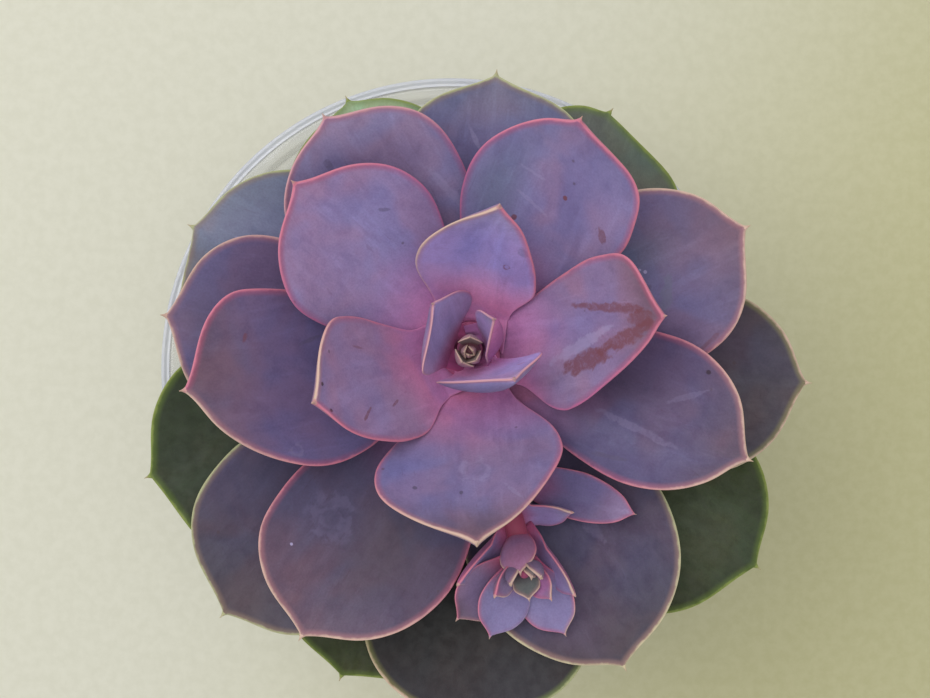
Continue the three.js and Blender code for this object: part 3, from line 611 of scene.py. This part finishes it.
def painted(leaf, skin):
    """The colours of a leaf, point by point, from its few named ones."""
    s, v, under, light = leaf["s"], leaf["v"], leaf["under"], skin["light"]

    def all_over(colour):
        return np.tile(colour, (len(s), 1))

    # light scales these colours, partly each leaf's own tone and partly painted light and shade.
    body, root, tip = (linear(skin[k]) * light for k in ("body", "root", "tip"))
    tint = all_over(body)
    # The root colour holds painted light, lighter than the base's own pink where shade falls
    # between the leaves.
    tint = blend(tint, root, 1 - smooth(s, 0.06, 0.54 - 0.12 * np.abs(v)))
    tint = blend(tint, tip, smooth(s, 0.68, 1.0) * 0.9)
    for at_s, at_v, size_s, size_v, colour, strength in skin["patches"]:
        weight = np.exp(-(((s - at_s) / size_s) ** 2) - ((v - at_v) / size_v) ** 2)
        tint = blend(tint, linear(colour) * light, weight * strength)
    shade = linear(skin.get("under", tuple(0.9 * c for c in skin["body"]))) * light
    tint = blend(tint, blend(all_over(shade), root, 1 - smooth(s, 0, 0.5)), under)

    def margin(ends):
        a, b = ends if isinstance(ends[0], tuple) else (ends, ends)
        return blend(all_over(linear(a)), linear(b), smooth(s, 0.55, 0.98))

    edge = blend(margin(skin["right"]), margin(skin["left"]), smooth(v, -0.3, 0.3))
    edge = blend(edge, linear(SPINE), smooth(s, 1.01, 1.05) * 0.7)
    edge = blend(edge, root, 1 - smooth(s, 0.1, 0.45) ** 0.7)
    line = smooth(s, 0.2, 0.7) * skin.get("line", 0.5)
    rim = leaf["rim"] / skin.get("edge_scale", 1)
    return dict(tint=tint, edge_tint=edge, rim=rim, place=leaf["flat"], line=line)


# --- materials


class Nodes:
    """A material's node tree, with short calls for the nodes used here."""

    def __init__(self, name):
        self.material = bpy.data.materials.new(name)
        self.material.use_nodes = True
        self.tree = self.material.node_tree
        self.shader = next(n for n in self.tree.nodes if n.type == "BSDF_PRINCIPLED")

    def put(self, socket, value):
        if isinstance(value, bpy.types.NodeSocket):
            self.tree.links.new(value, socket)
        elif socket.type == "RGBA":
            socket.default_value = (*(float(c) for c in value), 1)
        else:
            socket.default_value = value

    def add(self, kind, values, **settings):
        """A new node's outputs."""
        node = self.tree.nodes.new("ShaderNode" + kind)
        for name, setting in settings.items():
            setattr(node, name, setting)
        for name, value in values.items():
            self.put(node.inputs[name], value)
        return node.outputs

    def set(self, **values):
        for name, value in values.items():
            self.put(self.shader.inputs[name.replace("_", " ")], value)

    def attribute(self, name, output="Vector"):
        return self.add("Attribute", {}, attribute_name=name)[output]

    def object_place(self):
        """A point's place on its object, in millimetres."""
        return self.stretched(self.add("TexCoord", {})["Object"], [1 / MM] * 3)

    def stretched(self, vector, scale, shift=(0, 0, 0)):
        values = {"Vector": vector, "Scale": scale, "Location": shift}
        return self.add("Mapping", values)["Vector"]

    def tinted(self, colour, by):
        return self.add("VectorMath", {0: colour, 1: by}, operation="MULTIPLY")[0]

    def noise(self, vector, scale, detail, rough, distortion=0):
        values = {"Vector": vector, "Scale": scale, "Detail": detail, "Roughness": rough}
        return self.add("TexNoise", {**values, "Distortion": distortion})["Fac"]

    def cells(self, vector, scale):
        return self.add("TexVoronoi", {"Vector": vector, "Scale": scale})

    def math(self, operation, a, b):
        return self.add("Math", {0: a, 1: b}, operation=operation)[0]

    def spread(self, value, low, high, out_low=0.0, out_high=1.0):
        values = {"Value": value, "From Min": low, "From Max": high}
        values.update({"To Min": out_low, "To Max": out_high})
        return self.add("MapRange", values, interpolation_type="SMOOTHSTEP")["Result"]

    def mix(self, share, a, b, how="MIX"):
        return self.add("Mix", {0: share, 6: a, 7: b}, data_type="RGBA", blend_type=how)[2]

    def between(self, share, a, b):
        """A mix of two sRGB colours."""
        return self.mix(share, linear(a), linear(b))

    def times(self, a, b):
        return self.math("MULTIPLY", a, b)

    def bump(self, height, strength, distance):
        values = {"Height": height, "Strength": strength, "Distance": distance}
        self.set(Normal=self.add("Bump", values)["Normal"])


def leaf_material(name, seed=0, specks=0.5, marks=(), halo_tint=(0.7, 0.46, 0.6)):
    """A waxy leaf: powdery bloom, rubbed streaks, a coloured margin, scars and specks."""
    n = Nodes(name)
    flat, tint, edge_tint = (n.attribute(key) for key in ("place", "tint", "edge_tint"))
    rim = n.attribute("rim", "Fac")
    place = n.stretched(flat, (1, 1, 1), (seed * 37.0, seed * 11.0, seed * 5.0))
    broad = n.noise(place, 0.07, 2, 0.5, 0.4)
    cloud = n.noise(n.stretched(place, (0.8, 1.2, 1), (31, 7, 3)), 0.16, 3, 0.6, 0.5)
    middle = n.noise(place, 0.42, 4, 0.6, 0.3)
    fine = n.noise(place, 2.4, 3, 0.65)
    streak = n.noise(n.stretched(place, (0.07, 0.42, 0.3)), 1, 4, 0.6, 0.5)
    scratch = n.noise(n.stretched(place, (0.16, 1.1, 0.3), (3, 50, 0)), 1, 3, 0.7, 0.8)

    # Broad cool and rosy parts, then clouds, rubbed streaks, mottling and scratches
    cool, rosy = n.tinted(tint, (0.92, 0.98, 1.08)), n.tinted(tint, (1.10, 0.97, 0.97))
    colour = n.mix(n.spread(broad, 0.42, 0.62), cool, rosy)
    for share, by in (
        (n.spread(cloud, 0.44, 0.68, 0, 0.7), (0.78, 0.78, 0.84)),
        (n.spread(streak, 0.5, 0.68, 0, 0.45), (1.2, 1.28, 1.26)),
        (n.spread(middle, 0.42, 0.74, 0, 0.45), (0.84, 0.76, 0.80)),
        (n.spread(scratch, 0.65, 0.72, 0, 0.35), (0.7, 0.56, 0.56)),
    ):
        colour = n.mix(share, colour, n.tinted(colour, by))
    grain = n.spread(fine, 0.3, 0.7, 0.93, 1.07)
    colour = n.add("VectorMath", {0: colour, "Scale": grain}, operation="SCALE")[0]

    # Dark specks, in about a fifth of the cells
    spots = n.cells(place, 0.2)
    near = n.spread(spots["Distance"], 0.04, 0.09, 1, 0)
    few = n.spread(n.add("SeparateColor", {0: spots["Color"]})["Red"], 0.78, 0.8)
    share = n.times(n.times(near, few), specks)
    colour = n.mix(share, colour, (0.07, 0.035, 0.04))
    ragged = n.spread(middle, 0.3, 0.7, -0.3, 0.3)
    patchy = n.noise(place, 1.1, 4, 0.7, 0.6)
    for x, y, long, wide, turn, dark, strength, *kind in marks:
        values = {"Vector": flat, "Location": (x, y, 0), "Scale": (long, wide, 12)}
        values["Rotation"] = (0, 0, math.radians(turn))
        spot = n.add("Mapping", values, vector_type="TEXTURE")["Vector"]
        away = n.add("VectorMath", {0: spot}, operation="LENGTH")["Value"]
        share = n.spread(n.math("ADD", away, ragged), 0.7, 1.1, strength, 0)
        if not kind:
            share = n.times(share, n.spread(patchy, 0.32, 0.54, 0.55, 1))
        elif kind == ["ring"]:
            share = n.times(share, n.spread(away, 0.45, 0.8))
        colour = n.mix(share, colour, linear(dark))

    # The margin, with a tinted line inside it
    halo = n.times(n.spread(rim, 0.4, 1.6, 1, 0), n.attribute("line", "Fac"))
    colour = n.mix(halo, colour, n.tinted(edge_tint, halo_tint))
    edge = n.math("ADD", rim, n.spread(middle, 0.3, 0.7, -0.1, 0.1))
    colour = n.mix(n.spread(edge, 0.16, 0.66, 0.95, 0), colour, edge_tint)

    n.set(Base_Color=colour, Roughness=n.spread(middle, 0.3, 0.75, 0.51, 0.68))
    n.set(Specular_IOR_Level=0.34, Subsurface_Weight=0.12, Subsurface_Radius=(1.0, 0.45, 0.6))
    n.set(Subsurface_Scale=0.0012, Sheen_Weight=0.08, Sheen_Roughness=0.6)
    n.set(Sheen_Tint=(0.82, 0.86, 1.0))
    n.bump(n.math("ADD", n.times(middle, 0.6), n.times(fine, 0.4)), 0.16, 0.0002)
    return n.material


def clothe(made, material, node, stands_for=True):
    """Gives a piece its material and its body, and the node to stand for."""
    made.data.materials.append(material)
    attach(made, "root")
    if stands_for:
        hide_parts(node)


# --- the rosette


def leaf_piece(node, leaf, turn, height, seed):
    """One grown leaf, in place of its node."""
    skin = SKINS[node]
    look = {"marks": skin["marks"]}
    if SLOTS[node] in ("leaf_green", "leaf_dark"):
        look["halo_tint"] = (0.5, 0.62, 0.3)
    build = Build()
    build.add(turned(leaf["points"], turn, height) + ROSETTE, leaf["faces"], **painted(leaf, skin))
    clothe(build.object(node + "_blade"), leaf_material(node + "_skin", seed, **look), node)


for order, row in enumerate(LEAVES):
    shape = {"cup": SPIRAL["cup"] - SPIRAL["flatten"] * order, **row}
    leaf = fine_leaf(shape, STEM["radius"] - 0.1, seed=100 + order)
    turn = SPIRAL["start"] + SPIRAL["turn"] * order + row["turn"]
    height = SPIRAL["top"] - SPIRAL["step"] * order
    leaf_piece(f"leaf_{order + 1:02d}", leaf, turn, height, order + 1)

for order, row in enumerate(INNER_LEAVES):
    shape = {**INNER_BLADE, **row}
    leaf = fine_leaf(shape, STEM["neck_radius"] - 0.1, rows=44, across=23, seed=140 + order)
    height = INNER["top"] + INNER["step"] * order
    leaf_piece(f"inner_leaf_{order + 1}", leaf, row["turn"], height, order + 31)


def small_leaf(row, core_radius, seed):
    """A leaf of the heart or the offset, with fewer points."""
    leaf = fine_leaf(row, core_radius * 0.4, rows=34, across=17, arc=3, on_stem=False, seed=seed)
    leaf["points"] = turned(leaf["points"], row["turn"], row["up"])
    return leaf


def polar(out, turn, z):
    a = math.radians(turn)
    return np.array([out * math.cos(a), out * math.sin(a), z])


def rings_tube(centres, radii, sides=24):
    """A round tube through points, its rings square to the way it runs."""
    centres = [Vector(c) for c in centres]
    loops = []
    for i, centre in enumerate(centres):
        along = (centres[min(i + 1, len(centres) - 1)] - centres[max(i - 1, 0)]).normalized()
        turn = Vector((0, 0, 1)).rotation_difference(along)
        for k in range(sides):
            a = 2 * math.pi * k / sides
            ring = Vector((radii[i] * math.cos(a), radii[i] * math.sin(a), 0))
            loops.append(tuple(turn @ ring + centre))
    return np.array(loops), loft_faces(len(centres), sides)


def plain_attributes(count, colour, seed):
    """What a leaf's material reads, for a piece that is no leaf."""
    tint = np.tile(linear(colour), (count, 1))
    return dict(
        tint=tint, edge_tint=tint, rim=np.full(count, 9.0), line=np.zeros(count),
        place=np.stack([np.arange(count) * 0.05, np.zeros(count), np.full(count, seed * 3.0)], 1),
    )


skin = SKINS["heart_leaves"]
build = Build()
base = ROSETTE + np.array([0, 0, STEM["tip"] + SEAT_GAP])
tilt = np.array(Matrix.Rotation(math.radians(HEART["tilt"]), 3, "X"))
radius = HEART["core_radius"]
heights = [(0, 0, 0), (0, 0, 1), (0, 0, HEART["core_height"])]
core, faces = rings_tube(heights, [radius, radius, 0.8])
build.add(core + base, faces, **plain_attributes(len(core), skin["root"], 1))
for i, (size, pitch) in enumerate(HEART_LEAVES):
    row = dict(
        turn=HEART["turn"] - SPIRAL["turn"] * i, up=0.9 + HEART["rise"] * i,
        length=HEART["length"] * size, width=HEART["width"] * size,
        root_width=HEART["root_width"] * size, pitch=pitch, bend=0.6, cup=0.34,
        thick=HEART["thick"] * size**0.4, edge=0.5, mucro=0.4, mucro_radius=0.2, flare=0,
    )
    leaf = small_leaf(row, radius * size * 1.3, 160 + i)
    look = {**skin, "light": skin["light"] * (1 if i < 3 else 0.85)}
    build.add(leaf["points"] @ tilt.T + base, leaf["faces"], **painted(leaf, look))
clothe(build.object("heart_blades"), leaf_material("heart_skin", specks=0.0), "heart_leaves")

skin = SKINS["offset_rosette"]
build = Build()
place = Matrix.Translation(polar(OFFSET["out"], OFFSET["turn"], OFFSET["height"]))
place = place @ Matrix.Rotation(math.radians(OFFSET["facing"]), 4, "Z")
place = place @ Matrix.Rotation(math.radians(OFFSET["tilt"]), 4, "Y")
radius = OFFSET["core_radius"]
heights = [(0, 0, -4), (0, 0, 1), (0, 0, OFFSET["core_top"])]
core, faces = rings_tube(heights, [radius * 0.85, radius, 0.8])
build.add(placed(core, place) + ROSETTE, faces, **plain_attributes(len(core), skin["root"], 2))
centres = [polar(*row[:3]) for row in RUNNER] + [placed(np.array([[0, 0, -1.0]]), place)[0]]
tube, faces = rings_tube(centres, [r for *_, r in RUNNER] + [radius * 0.9])
build.add(tube + ROSETTE, faces, **plain_attributes(len(tube), RUNNER_TINT, 3))
for i, row in enumerate(OFFSET_LEAVES):
    leaf = small_leaf({**OFFSET_BLADE, **row}, radius, 180 + i)
    look = {**skin, **OFFSET_LOOKS.get(i, {})}
    build.add(placed(leaf["points"], place) + ROSETTE, leaf["faces"], **painted(leaf, look))
for i, row in enumerate(RUNNER_LEAVES):
    leaf = small_leaf({**OFFSET_BLADE, **row, "up": 0}, 1, 200 + i)
    where = polar(*row["at"]) + ROSETTE
    build.add(leaf["points"] + where, leaf["faces"], **painted(leaf, {**skin, **RUNNER_LOOKS[i]}))
clothe(build.object("offset_blades"), leaf_material("offset_skin", specks=0.2), "offset_rosette")

# --- stem

# Height and radius along the stem
SECTIONS = [
    (STEM["root_end"], STEM["root_tip"]), (STEM["root_end"] * 0.72, STEM["radius"] * 0.7),
    (STEM["soil_top"], STEM["radius"] * 0.9),
    ((STEM["soil_top"] + STEM["bend_top"]) / 2, STEM["radius"] * 0.86),
    (STEM["bend_top"], STEM["radius"]), (STEM["shoulder"], STEM["radius"]),
    (STEM["neck"], STEM["neck_radius"]), (STEM["tip"], STEM["tip_radius"]),
]
heights = np.linspace(STEM["root_end"], STEM["tip"], 130)
angle = full_turn(48)
loops = []
for z, r in zip(heights, np.interp(heights, *zip(*SECTIONS))):
    bend = float(smooth(z, STEM["soil_top"] - 6, STEM["bend_top"]))
    centre = np.array([STEM["shift"][0] * (1 - bend), STEM["shift"][1] * (1 - bend), z])
    scars = 0.16 * np.sin(z * 2.1 + 2 * np.sin(angle + 0.4 * z)) + 0.1 * np.sin(5 * angle + z * 0.7)
    loops.append(circle(r - 0.18 + scars, 0, angle) + centre)
build = Build()
build.add(np.concatenate(loops) + ROSETTE, loft_faces(len(loops), len(angle)))


def stem_material():
    """Corky bark with green patches, and fresh pink growth at the top."""
    n = Nodes("stem_bark_skin")
    place = n.object_place()
    rough = n.noise(n.stretched(place, (1, 1, 2.2)), 0.9, 5, 0.65)
    patch = n.noise(place, 0.22, 3, 0.6)
    share = n.spread(rough, 0.3, 0.7)
    colour = n.between(share, (96, 78, 54), (158, 134, 98))
    colour = n.mix(n.spread(patch, 0.45, 0.62, 0, 0.6), colour, linear((120, 128, 84)))
    fresh = n.between(share, (156, 76, 112), (182, 100, 136))
    height = n.add("SeparateXYZ", {0: place})["Z"]
    colour = n.mix(n.spread(height, 86, 96), colour, fresh)
    n.set(Base_Color=colour, Roughness=n.spread(rough, 0.3, 0.7, 0.66, 0.86))
    n.bump(rough, 0.5, 0.0006)
    return n.material


clothe(build.object("stem_bark"), stem_material(), "stem")

# --- potting mix


def inside_radius(z):
    """The radius inside the pot's wall."""
    share = (z - POT["floor"] - 1) / (POT["step_height"] + 0.6 - POT["floor"] - 1)
    return POT["base"] - POT["wall"] + (POT["step"] - POT["base"]) * share


def mix_level(share):
    """The height of the mix's surface at a share of its radius."""
    return SOIL["top"] + SOIL["crown"] * (1 - share * share)


rng = np.random.default_rng(21)
sides = 150
angle = full_turn(sides)
ripples = rng.uniform(0, 2 * math.pi, (7, 2))
bottom = POT["floor"] + SEAT_GAP
edge = inside_radius(SOIL["top"]) - SOIL["wall_gap"]


def lumps(z):
    out = 0
    for k, (p, q) in enumerate(ripples):
        round_wall, up_wall = (5 + 6 * k) * angle + p + 0.1 * z, (0.15 + 0.12 * k) * z + q
        out = out + np.sin(round_wall) * np.sin(up_wall) / (2.2 + k)
    return out


loops = []
for z in (bottom, *np.linspace(bottom + 1.6, SOIL["top"], 40)):
    r = inside_radius(max(z, bottom + 1.2)) - SOIL["wall_gap"] - (1.4 if z == bottom else 0)
    loops.append(circle(r - 0.45 * np.abs(lumps(z)), z, angle))
for share in np.linspace(1, 0.02, 34)[1:]:
    x, y, z = circle(edge * share, mix_level(share), angle).T
    fine = np.sin(0.31 * x + 1) * np.cos(0.27 * y) + 0.7 * np.sin(0.9 * x + y) * np.cos(0.8 * y - x)
    loops.append(np.stack([x, y, z + 0.5 * fine], 1))
build = Build()
build.add(np.concatenate(loops), loft_faces(len(loops), sides))


def mix_material():
    """Dark crumbs with paler grit, damp in patches."""
    n = Nodes("mix_crumb")
    place = n.object_place()
    crumb = n.cells(place, 0.62)
    tone = n.add("SeparateColor", {0: crumb["Color"]})["Red"]
    grit = n.noise(place, 1.6, 5, 0.7)
    colour = n.between(tone, (40, 28, 20), (92, 66, 46))
    colour = n.mix(n.spread(grit, 0.5, 0.7, 0, 0.7), colour, linear((120, 96, 72)))
    damp = n.spread(n.noise(place, 0.06, 2, 0.5), 0.4, 0.6, 0, 0.6)
    colour = n.mix(damp, colour, n.mix(1.0, colour, (0.55, 0.5, 0.48), "MULTIPLY"))
    n.set(Base_Color=colour, Roughness=n.spread(grit, 0.3, 0.7, 0.8, 0.96))
    n.bump(n.math("ADD", n.times(crumb["Distance"], -0.8), grit), 0.9, 0.0012)
    return n.material


clothe(build.object("mix_body"), mix_material(), "potting_mix")


def grain(rng, size, flat, long):
    """An angular lump: a low ball with its points moved at random, turned at random."""
    lat, lon = 4, 7
    points = [(0, 0, -1)]
    for i in range(1, lat):
        phi = -math.pi / 2 + math.pi * i / lat
        for j in range(lon):
            a = 2 * math.pi * (j + 0.5 * (i % 2)) / lon
            points.append((math.cos(phi) * math.cos(a), math.cos(phi) * math.sin(a), math.sin(phi)))
    points.append((0, 0, 1))
    p = np.array(points) * rng.uniform(0.72, 1.12, (len(points), 1))
    p = p * np.array([long, 1, flat]) * size
    ring = [(j, (j + 1) % lon) for j in range(lon)]
    faces = [(0, 1 + k, 1 + j) for j, k in ring]
    for a in range(1, 1 + (lat - 2) * lon, lon):
        faces += [(a + j, a + k, a + lon + k, a + lon + j) for j, k in ring]
    a = 1 + (lat - 2) * lon
    faces += [(len(points) - 1, a + j, a + k) for j, k in ring]
    turn = Quaternion(rng.normal(size=4)).normalized()
    return p @ np.array(turn.to_matrix()).T, faces


def scatter(name, seed, at_wall, on_top, at_floor, low, high, flat, long, material):
    """Grains of the mix: some pressed to the pot's wall, some on the surface or the floor."""
    rng = np.random.default_rng(seed)
    build = Build()
    for i in range(at_wall + on_top + at_floor):
        size = rng.uniform(low, high)
        p, faces = grain(rng, size, rng.uniform(flat, 1), rng.uniform(1, long))
        a = rng.uniform(0, 2 * math.pi)
        outward = np.array([math.cos(a), math.sin(a), 0])
        if i < at_wall:
            z = rng.uniform(bottom + size, SOIL["top"] - 0.3)
            r = inside_radius(z) - SOIL["wall_gap"] / 2 - (p @ outward).max()
            r -= rng.uniform(0, 0.5) * size
        elif i < at_wall + on_top:
            r = (edge - size - 1) * math.sqrt(rng.uniform(0.03, 1))
            z = mix_level(r / edge) + size * rng.uniform(-0.2, 0.35)
        else:
            r = (inside_radius(bottom) - size - 2) * math.sqrt(rng.uniform(0, 1))
            z = bottom - p[:, 2].min() + 0.05
        where = r * outward + np.array([0, 0, z])
        build.add(p + where, faces, shade=np.full(len(p), rng.uniform()))
    made = build.object(name)
    made.data.polygons.foreach_set("use_smooth", [False] * len(made.data.polygons))
    clothe(made, material, "potting_mix", False)


def grain_material(name, dark, light, rough, bump):
    """Worn grains, each with its own shade between dark and light."""
    n = Nodes(name)
    wear = n.noise(n.object_place(), 1.1, 4, 0.65)
    colour = n.between(n.attribute("shade", "Fac"), dark, light)
    worn = n.mix(1.0, colour, (0.5, 0.46, 0.42), "MULTIPLY")
    colour = n.mix(n.spread(wear, 0.4, 0.68, 0, 0.55), colour, worn)
    n.set(Base_Color=colour, Roughness=n.spread(wear, 0.3, 0.7, rough - 0.08, rough + 0.08))
    n.bump(wear, bump, 0.0005)
    return n.material


bark = grain_material("bark_chips_skin", (58, 34, 20), (140, 94, 60), 0.84, 0.6)
perlite = grain_material("perlite_skin", (186, 182, 170), (236, 234, 226), 0.8, 0.5)
lava = grain_material("lava_grit_skin", (70, 44, 36), (120, 88, 74), 0.88, 0.7)
# Name, seed, how many at the wall, on top and on the floor, size from and to, the
# flattest and the longest, material
scatter("mix_bark", 31, 420, 210, 90, 1.3, 3.4, 0.3, 1.9, bark)
scatter("mix_perlite", 32, 220, 80, 40, 0.6, 1.7, 0.7, 1.2, perlite)
scatter("mix_grit", 33, 260, 120, 40, 0.7, 1.9, 0.6, 1.3, lava)

# Roots that have met the wall and run down along it
clear = SOIL["wall_gap"] / 2
build = Build()
for i in range(26):
    a = rng.uniform(0, 2 * math.pi)
    z = rng.uniform(34, 58)
    drift, steps = rng.uniform(-0.02, 0.02), int(rng.uniform(22, 44))
    centres, radii = [], []
    thick = rng.uniform(0.22, 0.42)
    for k in range(steps):
        r = inside_radius(max(z, bottom + 2)) - thick - clear - 0.2 * abs(math.sin(k * 0.7 + i))
        centres.append((r * math.cos(a), r * math.sin(a), z))
        radii.append(thick * (1 - 0.75 * k / steps))
        drift += rng.normal(0, 0.006)
        a += drift
        z -= rng.uniform(0.5, 1.5)
        if z < bottom + 1.5:
            break
    if len(centres) > 6:
        tube, faces = rings_tube(centres, radii, 8)
        build.add(tube, faces, shade=np.full(len(tube), rng.uniform()))
root_skin = grain_material("root_skin", (176, 150, 112), (222, 206, 172), 0.7, 0.3)
clothe(build.object("mix_roots"), root_skin, "stem", False)

# --- pot

# Radius and height, up the outside, over the lip and down the inside to the floor
PROFILE = [
    (40, 0), (40.9, 0.25), (41.7, 0.95), (42.05, 2.1), (42.3, 4), (44.3, 18), (44.45, 18.7),
    (44.7, 19.1), (44.85, 19.9), (47.1, 35), (49.9, 53), (52.3, 69.5), (53.5, 77.4),
    (53.75, 78), (54.4, 78.5), (55.5, 79.1), (55.95, 79.8), (56.1, 80.8), (56.5, 84.4),
    (56.75, 84.9), (57.3, 85.02), (58.4, 85), (58.85, 85.2), (59, 85.7), (59, 87.2),
    (58.85, 87.7), (58.5, 87.95), (58.1, 87.8), (57.85, 87.55), (57.55, 87.5), (57.25, 87.75),
    (56.9, 88), (56.4, 87.95), (55.9, 87.6), (55.45, 86.9), (55.2, 85.8), (55, 82.6),
    (54.8, 80.9), (54.5, 80.2), (53.3, 79.6), (52.6, 79.1), (52.35, 78.2), (51.1, 69.5),
    (48.7, 53), (45.9, 35), (43.65, 19.9), (43.1, 18.4), (41.1, 4.6), (40.6, 2.9), (40.2, 2.1),
    (39.6, 1.7), (38.6, 1.6),
]
sides = 144
angle = full_turn(sides)
hole_angle = full_turn(32)
hole_centres = circle(POT["hole_circle"], 0, full_turn(POT["holes"]))


def off_holes(x, y, gap):
    return all(math.hypot(x - cx, y - cy) > gap for cx, cy, _ in hole_centres)


def hole_rim(centre, z):
    return circle(POT["hole_radius"], z, hole_angle) + centre


def floor_disc(z, rim_radius, up):
    """The pot's floor between its rim and its drain holes, as triangles."""
    loops = [circle(rim_radius, z, angle)] + [hole_rim(centre, z) for centre in hole_centres]
    flat = [Vector(p[:2]) for loop in loops for p in loop]
    edges, first = [], 0
    for loop in loops:
        edges += [(first + i, first + (i + 1) % len(loop)) for i in range(len(loop))]
        first += len(loop)
    for r in (8, 16, 36):
        for x, y, _ in circle(r, z, np.arange(0.13, 2 * math.pi, 2 * math.pi / 24)):
            if off_holes(x, y, 5.2):
                flat.append(Vector((x, y)))
    found, _, tris, *_ = delaunay_2d_cdt(flat, edges, [], 0, 1e-6)
    kept = []
    for tri in tris:
        c = sum((found[i] for i in tri), Vector((0, 0))) / len(tri)
        if off_holes(c.x, c.y, POT["hole_radius"] * 0.985) and c.length < rim_radius:
            kept.append(tuple(tri) if up else tuple(reversed(tri)))
    return np.array([(p.x, p.y, z) for p in found]), kept


def strips(loops, count):
    """Faces between neighbouring loops, with open ends."""
    return [(i * count + j, i * count + k, (i + 1) * count + k, (i + 1) * count + j)
            for i in range(loops - 1) for j, k in ((j, (j + 1) % count) for j in range(count))]


build = Build()
build.add(np.concatenate([circle(r, z, angle) for r, z in PROFILE]), strips(len(PROFILE), sides))
build.add(*floor_disc(0.0, PROFILE[0][0], False))
build.add(*floor_disc(POT["floor"], PROFILE[-1][0], True))
for centre in hole_centres:
    wall = np.concatenate([hole_rim(centre, z) for z in (POT["floor"], 0.0)])
    build.add(wall, strips(2, len(hole_angle)))
pot = build.object("pot_shell")
bpy.context.view_layer.update()
mesh = bmesh.new()
mesh.from_mesh(pot.data)
bmesh.ops.remove_doubles(mesh, verts=mesh.verts, dist=2e-6)
bmesh.ops.recalc_face_normals(mesh, faces=mesh.faces)
mesh.to_mesh(pot.data)
mesh.free()


def pot_material(name, clear, bright, dull):
    """Clear plastic with a faint haze. Its two colours are linear."""
    n = Nodes(name)
    place = n.object_place()
    haze = n.noise(place, 0.12, 4, 0.6)
    colour = n.mix(n.spread(haze, 0.4, 0.65, 0, 0.5), bright, dull)
    n.set(Base_Color=colour, Roughness=n.spread(haze, 0.4, 0.7, 0.04, 0.13))
    n.set(Transmission_Weight=clear, IOR=1.42)
    return n.material


clothe(pot, pot_material("clear_pot", 0.95, (0.94, 0.95, 1.0), (0.86, 0.88, 0.99)), "pot")
# The lip is a bead, made less clear than the thin wall so that it shows paler: partly the thicker
# plastic's own milkiness and partly painted reflection of light along the rim.
pot.data.materials.append(pot_material("clear_lip", 0.5, (0.93, 0.95, 1.0), (0.86, 0.89, 1.0)))
for face in pot.data.polygons:
    x, y, z = face.center / MM
    high = z > POT["height"] - POT["lip_depth"] - 0.1
    if high and math.hypot(x, y) > POT["lip"] - POT["lip_width"]:
        face.material_index = 1

# --- stage and light

# Half the floor's side, in metres
FLOOR = 12
corners = [(-FLOOR, -FLOOR, 0), (FLOOR, -FLOOR, 0), (FLOOR, FLOOR, 0), (-FLOOR, FLOOR, 0)]
floor_mesh = bpy.data.meshes.new("floor")
floor_mesh.from_pydata(corners, [], [(0, 1, 2, 3)])
floor = bpy.data.objects.new("floor", floor_mesh)
scene.collection.objects.link(floor)
n = Nodes("floor_card")
place = n.object_place()
fibre = n.noise(place, 0.35, 4, 0.6)
share = n.spread(fibre, 0.3, 0.7)
# Towards the lower right of the view the card turns darker and yellower: painted shade, with its
# warm cast, of light falling off across the card.
pale = n.between(share, (212, 210, 190), (217, 215, 196))
shaded_card = n.between(share, (187, 183, 138), (193, 189, 146))
aside = n.add("SeparateXYZ", {0: place})
shade_slope = n.math("SUBTRACT", aside["X"], n.times(aside["Y"], 0.5))
n.set(Base_Color=n.mix(n.spread(shade_slope, -50, 130), pale, shaded_card), Roughness=0.85)
floor.data.materials.append(n.material)


def area_light(name, at, aim, size, watts, colour):
    """A soft square light. Places and size are in metres."""
    data = bpy.data.lights.new(name, "AREA")
    data.shape = "SQUARE"
    data.size = size
    data.energy = watts
    data.color = colour
    light = bpy.data.objects.new(name, data)
    light.location = at
    light.rotation_euler = (Vector(aim) - Vector(at)).to_track_quat("-Z", "Y").to_euler()
    scene.collection.objects.link(light)


area_light("window", (-0.42, 0.26, 0.86), (0, 0, 0.08), 0.6, 3.2, (1.0, 0.99, 0.97))
area_light("overhead", (0.02, 0.03, 1.1), (0, 0, 0.08), 0.5, 1.9, (1.0, 0.99, 0.98))

world = bpy.data.worlds.new("world")
scene.world = world
world.use_nodes = True
background = world.node_tree.nodes["Background"]
background.inputs["Color"].default_value = (0.93, 0.95, 1.0, 1)
background.inputs["Strength"].default_value = 0.68

# --- close

bpy.context.view_layer.update()
